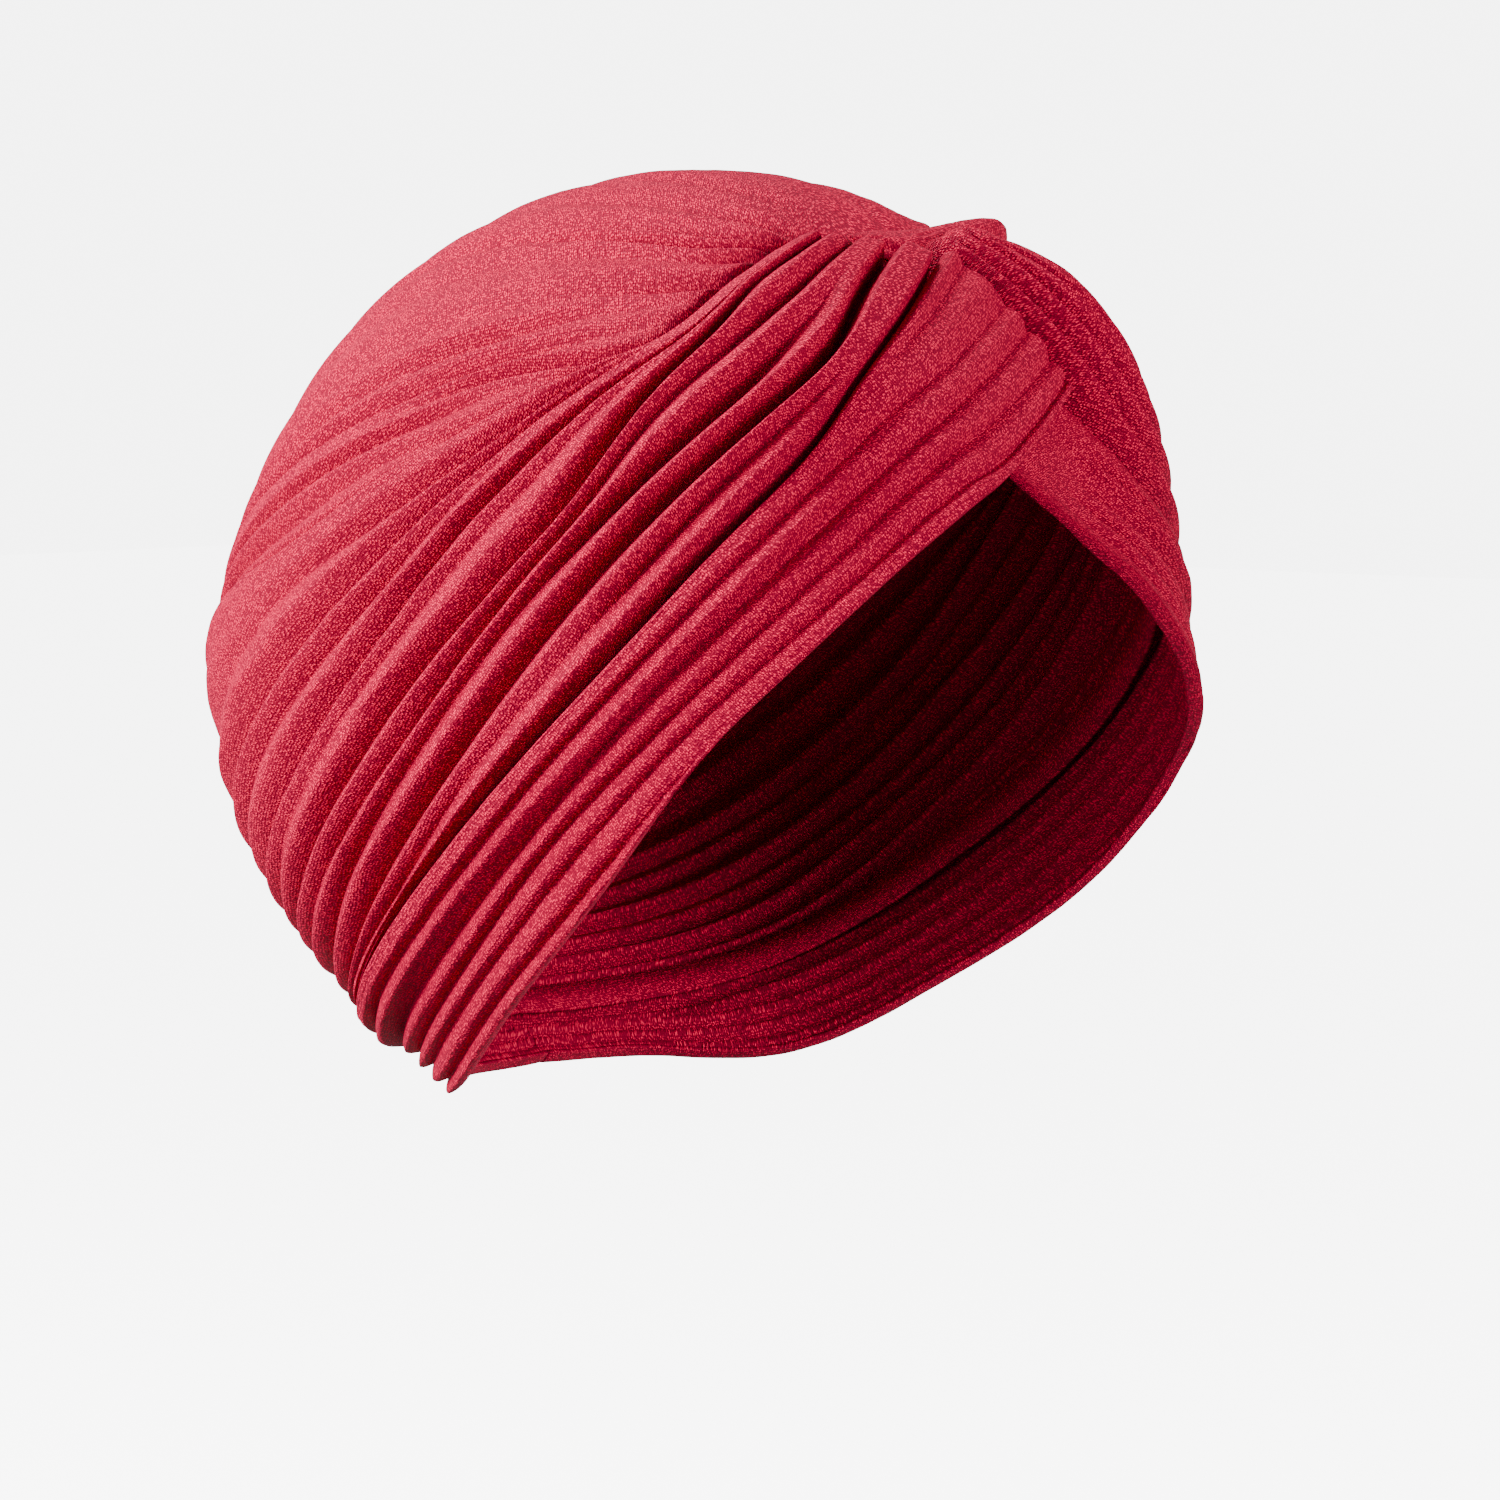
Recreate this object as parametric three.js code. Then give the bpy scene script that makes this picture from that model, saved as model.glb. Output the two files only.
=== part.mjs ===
// Turban headwrap in ribbed jersey, in the form it takes when worn.
// Millimetres, +Z up. The front faces -Y and the wearer's right is -X.
// The origin is the top of the head inside the crown.
import * as THREE from 'three';

// Head that the wrap is worn on, measured from the middle of the head
const HEAD_FRONT = 97;
const HEAD_SIDE = 80;
const HEAD_BACK = 98;
const HEAD_TOP = 100;
const HEAD_SQUARENESS = 0.3;

// Cloth and how its layers lie
const CLOTH = 1.8;
const EASE = 0.2;
const CLEARANCE = 0.6;
const TUCK = 8;
const CROWN_TUCK = 6;

// How far the cloth stands off the head at its highest
const PLEAT_RISE = 9;
const SIDE_LIFT = 7;
const RIB_RISE = 3;
const CROWN_RISE = 2.2;
const FOLD_DEPTH = 1.5;
const TWIST_RISE = 9.6;

// Gaps where the two sides meet at the centre back, and between a drape and the band's top edge
const BACK_SEAM = 0.6;
const BAND_GAP = 1.2;

// Outer faces of one, two and three layers lying flat on the head
const FIRST_LAYER = EASE + CLOTH;
const SECOND_LAYER = FIRST_LAYER + CLEARANCE + CLOTH;
const THIRD_LAYER = SECOND_LAYER + CLEARANCE + CLOTH;

// Outer face of the twist's feet, which stand on the crown before it has swelled to its full height
const TWIST_SETTLE = 1.6;
const TWIST_SEAT = THIRD_LAYER - TWIST_SETTLE;

// Facets along the flow of the cloth, across each pleat and rib, across the crown and on the twist
const STEPS_ALONG = 20;
const STEPS_PER_PLEAT = 3;
const STEPS_PER_RIB = 2;
const STEPS_CROWN = 22;
const STEPS_TWIST = { along: 12, over: 8 };

// How sharp the valleys are cut, and how full the arches over a drape and over the twist are
const VALLEY_SHARPNESS = 2.2;
const DRAPE_FULLNESS = 0.8;
const TWIST_FULLNESS = 0.7;

// How fast a layer comes down past the end of a lap, per tuck width
const STEP_DOWN = 3;

// Cuts of the band's own two borders, as shares of the rib height
const BAND_TOP_CUT = 0.6;
const BAND_EDGE_CUT = 0.8;

// How much of the crown's border the drapes cover at the front, in widths of the crown's tuck
const CROWN_COVERED = 1.5;

// How fast a crown fold fades in at its start and out at its end, per length of the fold
const FOLD_FADES = { in: 4, out: 2.5 };

// Head radii by elevation, as shares of an ellipse through the named head sizes
const HEAD_PROFILE = [
  { elevation: -75, front: 1.50, side: 1.020, back: 0.880 },
  { elevation: -60, front: 1.46, side: 0.982, back: 0.850 },
  { elevation: -45, front: 1.40, side: 0.968, back: 0.855 },
  { elevation: -30, front: 1.29, side: 0.984, back: 0.893 },
  { elevation: -15, front: 1.11, side: 0.994, back: 0.953 },
  { elevation: 0, front: 1.00, side: 1.000, back: 1.000 },
  { elevation: 15, front: 0.955, side: 1.006, back: 1.000 },
  { elevation: 30, front: 0.91, side: 1.020, back: 0.985 },
  { elevation: 45, front: 0.945, side: 1.030, back: 0.985 },
  { elevation: 60, front: 0.983, side: 1.025, back: 0.990 },
  { elevation: 75, front: 0.996, side: 1.010, back: 0.996 },
  { elevation: 90, front: 1.00, side: 1.000, back: 1.000 },
];

// Sections from the twist at the front to the centre back, in degrees. Azimuth is turned from the
// front towards the section's own side. crease is where the pleats leave the crown, band where they
// meet the brow band, edge the band's lower edge. rise and lift are shares of PLEAT_RISE and SIDE_LIFT.
const RIGHT_SECTIONS = [
  { creaseAz: 26, creaseEl: 62, bandAz: -9, bandEl: 58, edgeAz: -18, edgeEl: 38, rise: 0.75, lift: 0.0 },
  { creaseAz: 34, creaseEl: 58.5, bandAz: 12.5, bandEl: 49, edgeAz: 3, edgeEl: 29, rise: 0.9, lift: 0.3 },
  { creaseAz: 42, creaseEl: 54.5, bandAz: 26, bandEl: 39.5, edgeAz: 13, edgeEl: 24.2, rise: 1.0, lift: 0.4 },
  { creaseAz: 56, creaseEl: 46, bandAz: 36, bandEl: 30, edgeAz: 25, edgeEl: 16.7, rise: 1.0, lift: 0.3 },
  { creaseAz: 80, creaseEl: 37.5, bandAz: 50, bandEl: 17, edgeAz: 38, edgeEl: 6, rise: 0.9, lift: 0.1 },
  { creaseAz: 98, creaseEl: 30.3, bandAz: 61, bandEl: 5.7, edgeAz: 48.5, edgeEl: -4.5, rise: 0.8, lift: 0 },
  { creaseAz: 117, creaseEl: 20, bandAz: 76, bandEl: -9, edgeAz: 60, edgeEl: -20, rise: 0.75, lift: 0 },
  { creaseAz: 138, creaseEl: 11, bandAz: 95, bandEl: -25, edgeAz: 79, edgeEl: -39, rise: 0.72, lift: 0 },
  { creaseAz: 158, creaseEl: 1, bandAz: 118, bandEl: -38, edgeAz: 108, edgeEl: -54, rise: 0.7, lift: 0 },
  { creaseAz: 171, creaseEl: -6, bandAz: 150, bandEl: -46, edgeAz: 146, edgeEl: -58, rise: 0.7, lift: 0 },
  { creaseAz: 180, creaseEl: -9, bandAz: 180, bandEl: -48, edgeAz: 180, edgeEl: -60, rise: 0.7, lift: 0 },
];
const LEFT_SECTIONS = [
  { creaseAz: 38, creaseEl: 56, bandAz: 10.5, bandEl: 56.5, edgeAz: -9, edgeEl: 38, rise: 0.85, lift: 0.6 },
  { creaseAz: 42, creaseEl: 55, bandAz: 14.5, bandEl: 49, edgeAz: -2, edgeEl: 31, rise: 0.95, lift: 0.8 },
  { creaseAz: 47, creaseEl: 53, bandAz: 19.5, bandEl: 37.5, edgeAz: 7, edgeEl: 22, rise: 1.0, lift: 1.1 },
  { creaseAz: 58, creaseEl: 46, bandAz: 29, bandEl: 25, edgeAz: 20, edgeEl: 10, rise: 1.0, lift: 1.0 },
  { creaseAz: 80, creaseEl: 37.5, bandAz: 45, bandEl: 14, edgeAz: 35, edgeEl: -1, rise: 0.9, lift: 0.3 },
  { creaseAz: 98, creaseEl: 30.3, bandAz: 59, bandEl: 3.5, edgeAz: 47.5, edgeEl: -10, rise: 0.8, lift: 0.1 },
  { creaseAz: 117, creaseEl: 20, bandAz: 75.5, bandEl: -11, edgeAz: 60, edgeEl: -23, rise: 0.75, lift: 0 },
  { creaseAz: 138, creaseEl: 11, bandAz: 95, bandEl: -26, edgeAz: 79, edgeEl: -41, rise: 0.72, lift: 0 },
  { creaseAz: 158, creaseEl: 1, bandAz: 118, bandEl: -38.5, edgeAz: 108, edgeEl: -54.5, rise: 0.7, lift: 0 },
  { creaseAz: 171, creaseEl: -6, bandAz: 150, bandEl: -46, edgeAz: 146, edgeEl: -58, rise: 0.7, lift: 0 },
  { creaseAz: 180, creaseEl: -9, bandAz: 180, bandEl: -48, edgeAz: 180, edgeEl: -60, rise: 0.7, lift: 0 },
];

// Elevation of the crown's middle line at the same sections, counted on over the top from the front
const CROWN_MIDDLE = [55, 66, 76, 90, 108, 124, 141, 162, 178, 187, 195];

// Where the valleys between pleats run. STATIONS counts sections from the twist. at is the share of
// the way from the crown crease to the band, and deep the share of the pleat's height that it cuts.
const STATIONS = [0, 1, 2, 3, 4, 5, 6, 7, 8, 10];
const DRAPE_VALLEYS = [
  {
    at: [0.04, 0.04, 0.04, 0.05, 0.12, 0.13, 0.12, 0.20, 0.27, 0.30],
    deep: [0, 0, 0, 0.1, 0.7, 0.7, 0.4, 0.4, 0.5, 0.4],
  },
  {
    at: [0.08, 0.08, 0.08, 0.09, 0.17, 0.22, 0.25, 0.35, 0.40, 0.40],
    deep: [0, 0, 0, 0, 0.4, 0.7, 0.8, 0.9, 0.9, 0.8],
  },
  {
    at: [0.11, 0.10, 0.10, 0.12, 0.21, 0.28, 0.34, 0.43, 0.48, 0.48],
    deep: [0, 0, 0, 0, 0, 0.3, 0.7, 0.5, 0.5, 0.5],
  },
  {
    at: [0.13, 0.12, 0.12, 0.15, 0.26, 0.35, 0.45, 0.55, 0.59, 0.58],
    deep: [0, 0, 0, 0.2, 0.6, 0.9, 0.9, 0.9, 0.9, 0.8],
  },
  {
    at: [0.15, 0.14, 0.13, 0.18, 0.34, 0.43, 0.51, 0.61, 0.65, 0.65],
    deep: [0, 0, 0, 0, 0.2, 0.3, 0.3, 0.2, 0.5, 0.4],
  },
  {
    at: [0.18, 0.16, 0.15, 0.22, 0.48, 0.56, 0.61, 0.69, 0.73, 0.72],
    deep: [0.3, 0.4, 0.3, 0.9, 1, 1, 1, 0.9, 0.9, 0.8],
  },
  {
    at: [0.42, 0.38, 0.36, 0.34, 0.55, 0.63, 0.70, 0.76, 0.79, 0.78],
    deep: [0.3, 0.4, 0.5, 0.4, 0.4, 0.6, 0.7, 0.6, 0.4, 0.5],
  },
  {
    at: [0.55, 0.54, 0.55, 0.54, 0.63, 0.69, 0.76, 0.82, 0.87, 0.86],
    deep: [0, 0, 0.3, 0.9, 0.8, 0.5, 0.5, 0.7, 0.8, 0.7],
  },
  {
    at: [0.65, 0.67, 0.77, 0.71, 0.75, 0.80, 0.86, 0.91, 0.95, 0.93],
    deep: [1, 1, 1, 1, 1, 1, 1, 0.9, 0.8, 0.7],
  },
  {
    at: [0.86, 0.87, 0.89, 0.83, 0.87, 0.90, 0.93, 0.97, 0.985, 0.97],
    deep: [0, 0, 0, 0.4, 0.6, 0.3, 0.3, 0.5, 0.4, 0.4],
  },
];
const BAND_VALLEYS = [
  {
    at: [0.12, 0.10, 0.06, 0.05, 0.05, 0.05, 0.05, 0.05, 0.05, 0.05],
    deep: [0.5, 0.5, 0, 0, 0, 0, 0, 0, 0, 0],
  },
  {
    at: [0.43, 0.34, 0.25, 0.18, 0.18, 0.18, 0.18, 0.18, 0.16, 0.17],
    deep: [0.5, 0.7, 0.8, 0.9, 0.9, 0.9, 0.9, 0.9, 0.9, 0.9],
  },
  {
    at: [0.60, 0.53, 0.48, 0.42, 0.42, 0.41, 0.40, 0.40, 0.38, 0.38],
    deep: [0.6, 0.8, 0.9, 0.9, 0.9, 0.9, 1, 1, 0.9, 0.9],
  },
  {
    at: [0.80, 0.72, 0.67, 0.64, 0.64, 0.63, 0.55, 0.57, 0.57, 0.57],
    deep: [0.6, 0.7, 0.9, 0.9, 0.9, 0.9, 0.8, 0.9, 0.9, 0.9],
  },
  {
    at: [0.94, 0.92, 0.87, 0.85, 0.83, 0.79, 0.73, 0.72, 0.72, 0.72],
    deep: [0.5, 0.6, 0.7, 0.8, 0.7, 0.7, 0.7, 0.6, 0.7, 0.7],
  },
  {
    at: [0.98, 0.97, 0.96, 0.96, 0.96, 0.96, 0.92, 0.89, 0.89, 0.89],
    deep: [0, 0, 0, 0, 0, 0.2, 0.7, 0.7, 0.7, 0.7],
  },
];

// Soft folds of the crown. at is the share of the way across from the right crease to the left one,
// from and to the sections where the fold starts and ends, and broad its half width as a share of the same.
const CROWN_FOLDS = [
  { from: 0.6, to: 4.2, at: [0.10, 0.23], deep: 1.0, broad: 0.035 },
  { from: 1.8, to: 4.0, at: [0.01, 0.11], deep: 1.0, broad: 0.030 },
  { from: 3.2, to: 6.0, at: [0.06, 0.08], deep: 0.5, broad: 0.020 },
  { from: 3.6, to: 7.5, at: [0.02, 0.05], deep: 0.5, broad: 0.020 },
  { from: 0.6, to: 2.8, at: [0.22, 0.33], deep: 0.7, broad: 0.040 },
  { from: 0.5, to: 2.4, at: [0.42, 0.46], deep: 0.5, broad: 0.030 },
  { from: 0.6, to: 3.4, at: [0.70, 0.62], deep: 0.8, broad: 0.040 },
  { from: 0.8, to: 4.4, at: [0.84, 0.76], deep: 0.9, broad: 0.035 },
  { from: 2.2, to: 5.4, at: [0.97, 0.90], deep: 0.8, broad: 0.025 },
];

// Twist from its tuck on the right to its peak on the left, in degrees. front and back are its two feet.
// rise is a share of TWIST_RISE.
const TWIST_SECTIONS = [
  { frontAz: 2, frontEl: 61.6, backAz: 4, backEl: 64, rise: 0.1 },
  { frontAz: -7, frontEl: 60.3, backAz: -5, backEl: 64, rise: 0.2 },
  { frontAz: -15, frontEl: 58.9, backAz: -13, backEl: 63.3, rise: 0.3 },
  { frontAz: -24, frontEl: 58.2, backAz: -23, backEl: 62.4, rise: 0.4 },
  { frontAz: -33, frontEl: 57.8, backAz: -34, backEl: 61.2, rise: 0.6 },
  { frontAz: -41, frontEl: 57.3, backAz: -43, backEl: 60, rise: 0.9 },
];

const RED = new THREE.Color(0.5, 0.02, 0.045);

// A finish for one piece, with its own shade of the red
function clothFinish(shade) {
  const color = RED.clone().multiplyScalar(shade);
  return new THREE.MeshStandardMaterial({ color, roughness: 0.8, metalness: 0 });
}

// Unit direction from the middle of the head
function direction(azimuth, elevation) {
  const turn = THREE.MathUtils.degToRad(azimuth);
  const climb = THREE.MathUtils.degToRad(elevation);
  const flat = Math.cos(climb);
  return new THREE.Vector3(-Math.sin(turn) * flat, -Math.cos(turn) * flat, Math.sin(climb));
}

// Value at x of a smooth curve through a row of values that lie at the places in xs
function smoothThrough(xs, ys, x) {
  const last = xs.length - 2;
  let i = 0;
  while (i < last && x > xs[i + 1]) i += 1;
  const slope = (j) => {
    const a = Math.max(j - 1, 0);
    const b = Math.min(j + 1, xs.length - 1);
    return (ys[b] - ys[a]) / (xs[b] - xs[a]);
  };
  const h = xs[i + 1] - xs[i];
  const t = (x - xs[i]) / h;
  const rise = ys[i + 1] - ys[i];
  const in0 = slope(i) * h;
  const in1 = slope(i + 1) * h;
  return ys[i] + t * (in0 + t * (3 * rise - 2 * in0 - in1 + t * (in0 + in1 - 2 * rise)));
}

const clamp01 = (x) => Math.min(1, Math.max(0, x));
const ease01 = (x) => clamp01(x) ** 2 * (3 - 2 * clamp01(x));
const mix = (a, b, share) => a + (b - a) * share;

const PROFILE_AT = HEAD_PROFILE.map((row) => row.elevation);
const PROFILE_FRONT = HEAD_PROFILE.map((row) => row.front);
const PROFILE_SIDE = HEAD_PROFILE.map((row) => row.side);
const PROFILE_BACK = HEAD_PROFILE.map((row) => row.back);

// Distance from the middle of the head to its surface in a direction
function headRadius(unit) {
  const climb = Math.asin(THREE.MathUtils.clamp(unit.z, -1, 1));
  const flat = Math.cos(climb);
  const degrees = THREE.MathUtils.radToDeg(climb);
  const ellipse = (reach) => 1 / Math.hypot(flat / reach, Math.sin(climb) / HEAD_TOP);
  const ahead = unit.y < 0;
  const lengthwise = ahead
    ? smoothThrough(PROFILE_AT, PROFILE_FRONT, degrees) * ellipse(HEAD_FRONT)
    : smoothThrough(PROFILE_AT, PROFILE_BACK, degrees) * ellipse(HEAD_BACK);
  const sideways = smoothThrough(PROFILE_AT, PROFILE_SIDE, degrees) * ellipse(HEAD_SIDE);
  const round = Math.max(Math.hypot(unit.x, unit.y), 1e-9);
  const power = 2 + HEAD_SQUARENESS * flat ** 2;
  const along = Math.abs(unit.y) / round / lengthwise;
  const across = Math.abs(unit.x) / round / sideways;
  return (along ** power + across ** power) ** (-1 / power);
}

// Point that stands a height off the head in a direction, measured from the origin
function offHead(unit, height) {
  const point = unit.clone().multiplyScalar(headRadius(unit) + height);
  point.z -= HEAD_TOP;
  return point;
}

// Direction a share of the way along the great circle from one direction to another
function between(a, b, share) {
  const angle = a.angleTo(b);
  if (angle < 1e-6) return a.clone();
  const wa = Math.sin((1 - share) * angle) / Math.sin(angle);
  const wb = Math.sin(share * angle) / Math.sin(angle);
  return a.clone().multiplyScalar(wa).addScaledVector(b, wb).normalize();
}

// Smooth line of directions through a row of them, at a share of its way
function alongGuide(guide, share) {
  const n = guide.length - 1;
  const x = share * n;
  const i = Math.min(Math.max(Math.floor(x), 0), n - 1);
  const t = x - i;
  const p1 = guide[i];
  const p2 = guide[i + 1];
  const p0 = i > 0 ? guide[i - 1] : p1.clone().multiplyScalar(2).sub(p2);
  const p3 = i < n - 1 ? guide[i + 2] : p2.clone().multiplyScalar(2).sub(p1);
  const w0 = 0.5 * (-t + 2 * t ** 2 - t ** 3);
  const w1 = 0.5 * (2 - 5 * t ** 2 + 3 * t ** 3);
  const w2 = 0.5 * (t + 4 * t ** 2 - 3 * t ** 3);
  const w3 = 0.5 * (-(t ** 2) + t ** 3);
  const out = p0.clone().multiplyScalar(w0).addScaledVector(p1, w1).addScaledVector(p2, w2);
  return out.addScaledVector(p3, w3).normalize();
}

// Guide lines of one side of the wrap. turn is 1 on the wearer's right and -1 on the left.
function sideGuides(sections, turn) {
  const line = (az, el) => sections.map((row) => direction(turn * row[az], row[el]));
  return {
    crease: line('creaseAz', 'creaseEl'),
    band: line('bandAz', 'bandEl'),
    edge: line('edgeAz', 'edgeEl'),
    rise: sections.map((row) => row.rise * PLEAT_RISE),
    lift: sections.map((row) => row.lift * SIDE_LIFT),
    at: sections.map((row, i) => i),
    last: sections.length - 1,
    turn,
  };
}

const RIGHT = sideGuides(RIGHT_SECTIONS, 1);
const LEFT = sideGuides(LEFT_SECTIONS, -1);
const MIDDLE = CROWN_MIDDLE.map((climb) => direction(0, climb));

// Closed wall of cloth over a grid of places. outer(u, v) gives the direction and the height of the
// outer face off the head, and the inner face lies one cloth below it. seamSide is 1 or -1 on a side
// that ends at the centre back, and its wall stops there at half the seam.
function clothWall(name, us, vs, outer, shade, seamSide = 0) {
  const corners = [];
  const cols = us.length;
  const rows = vs.length;
  const shell = (drop) => {
    us.forEach((u) => vs.forEach((v) => {
      const { unit, height } = outer(u, v);
      const point = offHead(unit, height - drop);
      if (seamSide !== 0 && point.y > 0) point.x = -seamSide * Math.max(-seamSide * point.x, BACK_SEAM / 2);
      corners.push(point.x, point.y, point.z);
    }));
  };
  shell(0);
  shell(CLOTH);
  const under = cols * rows;
  const faces = [];
  const id = (i, j, layer) => layer * under + i * rows + j;
  const quad = (a, b, c, d) => faces.push(a, b, c, a, c, d);
  for (let i = 0; i < cols - 1; i += 1) {
    for (let j = 0; j < rows - 1; j += 1) {
      quad(id(i, j, 0), id(i + 1, j, 0), id(i + 1, j + 1, 0), id(i, j + 1, 0));
      quad(id(i, j, 1), id(i, j + 1, 1), id(i + 1, j + 1, 1), id(i + 1, j, 1));
    }
  }
  for (let i = 0; i < cols - 1; i += 1) {
    quad(id(i, 0, 0), id(i, 0, 1), id(i + 1, 0, 1), id(i + 1, 0, 0));
    quad(id(i, rows - 1, 0), id(i + 1, rows - 1, 0), id(i + 1, rows - 1, 1), id(i, rows - 1, 1));
  }
  for (let j = 0; j < rows - 1; j += 1) {
    quad(id(0, j, 0), id(0, j + 1, 0), id(0, j + 1, 1), id(0, j, 1));
    quad(id(cols - 1, j, 0), id(cols - 1, j, 1), id(cols - 1, j + 1, 1), id(cols - 1, j + 1, 0));
  }
  const geometry = new THREE.BufferGeometry();
  geometry.setAttribute('position', new THREE.Float32BufferAttribute(corners, 3));
  geometry.setIndex(facesOutward(corners, faces));
  geometry.computeVertexNormals();
  const mesh = new THREE.Mesh(geometry, clothFinish(shade));
  mesh.name = name;
  return mesh;
}

// The same faces, turned round where they enclose a negative volume
function facesOutward(corners, faces) {
  const at = (k) => new THREE.Vector3(corners[3 * k], corners[3 * k + 1], corners[3 * k + 2]);
  let volume = 0;
  for (let f = 0; f < faces.length; f += 3) {
    volume += at(faces[f]).dot(at(faces[f + 1]).cross(at(faces[f + 2])));
  }
  if (volume > 0) return faces;
  const turned = [];
  for (let f = 0; f < faces.length; f += 3) turned.push(faces[f], faces[f + 2], faces[f + 1]);
  return turned;
}

// Evenly spaced places from one value to another
function spread(from, to, steps) {
  return Array.from({ length: steps + 1 }, (_, i) => mix(from, to, i / steps));
}

// Places of the valleys at one section, with the two borders of the sheet
function valleyPlaces(valleys, station) {
  return [0, ...valleys.map((row) => smoothThrough(STATIONS, row.at, station)), 1];
}

// Depth of the valleys at one section, as shares of the pleat height, with the two borders
function valleyDepths(valleys, station, first, last) {
  return [first, ...valleys.map((row) => clamp01(smoothThrough(STATIONS, row.deep, station))), last];
}

// Pleat lane and place in it give the share across and the depth of the cut below the crests.
// A whole lane number is a valley. The cloth rises round and steep out of each valley.
function pleatSection(valleys, station, lane, first, last) {
  const places = valleyPlaces(valleys, station);
  const depths = valleyDepths(valleys, station, first, last);
  const i = Math.min(Math.floor(lane), places.length - 2);
  const x = lane - i;
  const left = depths[i] * (1 - clamp01(x * 2)) ** VALLEY_SHARPNESS;
  const right = depths[i + 1] * (1 - clamp01((1 - x) * 2)) ** VALLEY_SHARPNESS;
  return { share: mix(places[i], places[i + 1], x), cut: Math.max(left, right) };
}

// Angles in radians that the tucked margins and the gap above the band take
const TUCK_ANGLE = TUCK / HEAD_TOP;
const CROWN_TUCK_ANGLE = CROWN_TUCK / HEAD_TOP;
const BAND_GAP_ANGLE = BAND_GAP / HEAD_TOP;

// How far a band stays over the tucked margin of its drape, in tuck widths
const BAND_LAP = 1.1;

// Shares of the flow over which a drape's front end lies on the crown, its tucked margin widens, and
// the crown reaches forward past the first section
const FRONT_LAP = 0.05;
const MARGIN_START = 0.16;
const CROWN_LAP = 0.04;

// Where the crown ends under the centre back, where its tucked border turns from sideways to
// downwards, and where it swells out, all shares of the flow. tucks is the width of the rise in tucks.
const CROWN_END = 0.985;
const CROWN_TURN = { from: 0.6, over: 0.2 };
const CROWN_SWELL = { from: 0.06, to: 0.93, over: 0.14, tucks: 2 };

// How each band lies, by the share of the flow. start is where its top corner begins, frontLayer the
// layer that it lies in at the front, and the rest say where it comes down and where its ribs fill out.
// The right band lies over the left one. The left band is flat there and its hidden end is cut slanting.
const RIGHT_LAYERS = {
  start: 0,
  frontLayer: THIRD_LAYER,
  lowersFrom: 0.17,
  lowersOver: 0.13,
  ribsAtFront: 0.6,
  ribsFrom: 0.1,
  ribsOver: 0.2,
};
const LEFT_LAYERS = {
  start: 0.17,
  frontLayer: SECOND_LAYER,
  lowersFrom: 0.17,
  lowersOver: 0.07,
  ribsAtFront: 0,
  ribsFrom: 0.17,
  ribsOver: 0.1,
};

// Pleated side of the wrap, from the crown crease down to the margin that the band covers
function drape(name, side, shade) {
  const lanes = DRAPE_VALLEYS.length + 1;
  const across = [...spread(0, lanes, lanes * STEPS_PER_PLEAT), lanes + 1];
  const outer = (s, lane) => {
    const station = s * side.last;
    const top = alongGuide(side.crease, s);
    const low = alongGuide(side.band, s);
    const atFront = 1 - ease01((s - FRONT_LAP) / FRONT_LAP);
    if (lane > lanes) {
      const margin = BAND_GAP_ANGLE / 2 + TUCK_ANGLE * ease01(s / MARGIN_START);
      const beyond = 1 + margin / top.angleTo(low);
      return { unit: between(top, low, beyond), height: mix(FIRST_LAYER, SECOND_LAYER, atFront) };
    }
    const { share, cut } = pleatSection(DRAPE_VALLEYS, station, lane, 1, 1);
    const reach = share * top.angleTo(low);
    const overCrown = Math.max(1 - ease01((reach / TUCK_ANGLE - 1) * STEP_DOWN), atFront);
    const floor = mix(FIRST_LAYER, SECOND_LAYER, overCrown);
    const swell = Math.sin(Math.PI * clamp01(share)) ** DRAPE_FULLNESS;
    const lift = smoothThrough(side.at, side.lift, station);
    const crest = smoothThrough(side.at, side.rise, station) + swell * lift;
    return { unit: between(top, low, share), height: floor + Math.max(crest - floor, 0) * (1 - cut) };
  };
  return clothWall(name, spread(0, 1, STEPS_ALONG), across, outer, shade, side.turn);
}

// Height of the outer face of a band before its ribs, and how full the ribs are, at a share of the flow
function bandFloor(layers, s) {
  return mix(layers.frontLayer, FIRST_LAYER, ease01((s - layers.lowersFrom) / layers.lowersOver));
}
function ribFullness(layers, s) {
  return mix(layers.ribsAtFront, 1, ease01((s - layers.ribsFrom) / layers.ribsOver));
}

// Brow band with its ribs
function band(name, side, layers, shade) {
  const lanes = BAND_VALLEYS.length + 1;
  const across = spread(0, lanes, lanes * STEPS_PER_RIB);
  const outer = (u, lane) => {
    const s = mix(layers.start * (1 - lane / lanes), 1, u);
    const station = s * side.last;
    const top = alongGuide(side.band, s);
    const low = alongGuide(side.edge, s);
    const { share, cut } = pleatSection(BAND_VALLEYS, station, lane, BAND_TOP_CUT, BAND_EDGE_CUT);
    const full = top.angleTo(low);
    const reach = BAND_GAP_ANGLE + share * (full - BAND_GAP_ANGLE);
    const overDrape = 1 - ease01((reach / TUCK_ANGLE - BAND_LAP) * STEP_DOWN);
    const floor = Math.max(mix(FIRST_LAYER, SECOND_LAYER, overDrape), bandFloor(layers, s));
    const ribs = RIB_RISE * ribFullness(layers, s) * (1 - cut);
    return { unit: between(top, low, reach / full), height: floor + ribs };
  };
  return clothWall(name, spread(0, 1, STEPS_ALONG), across, outer, shade, side.turn);
}

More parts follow.
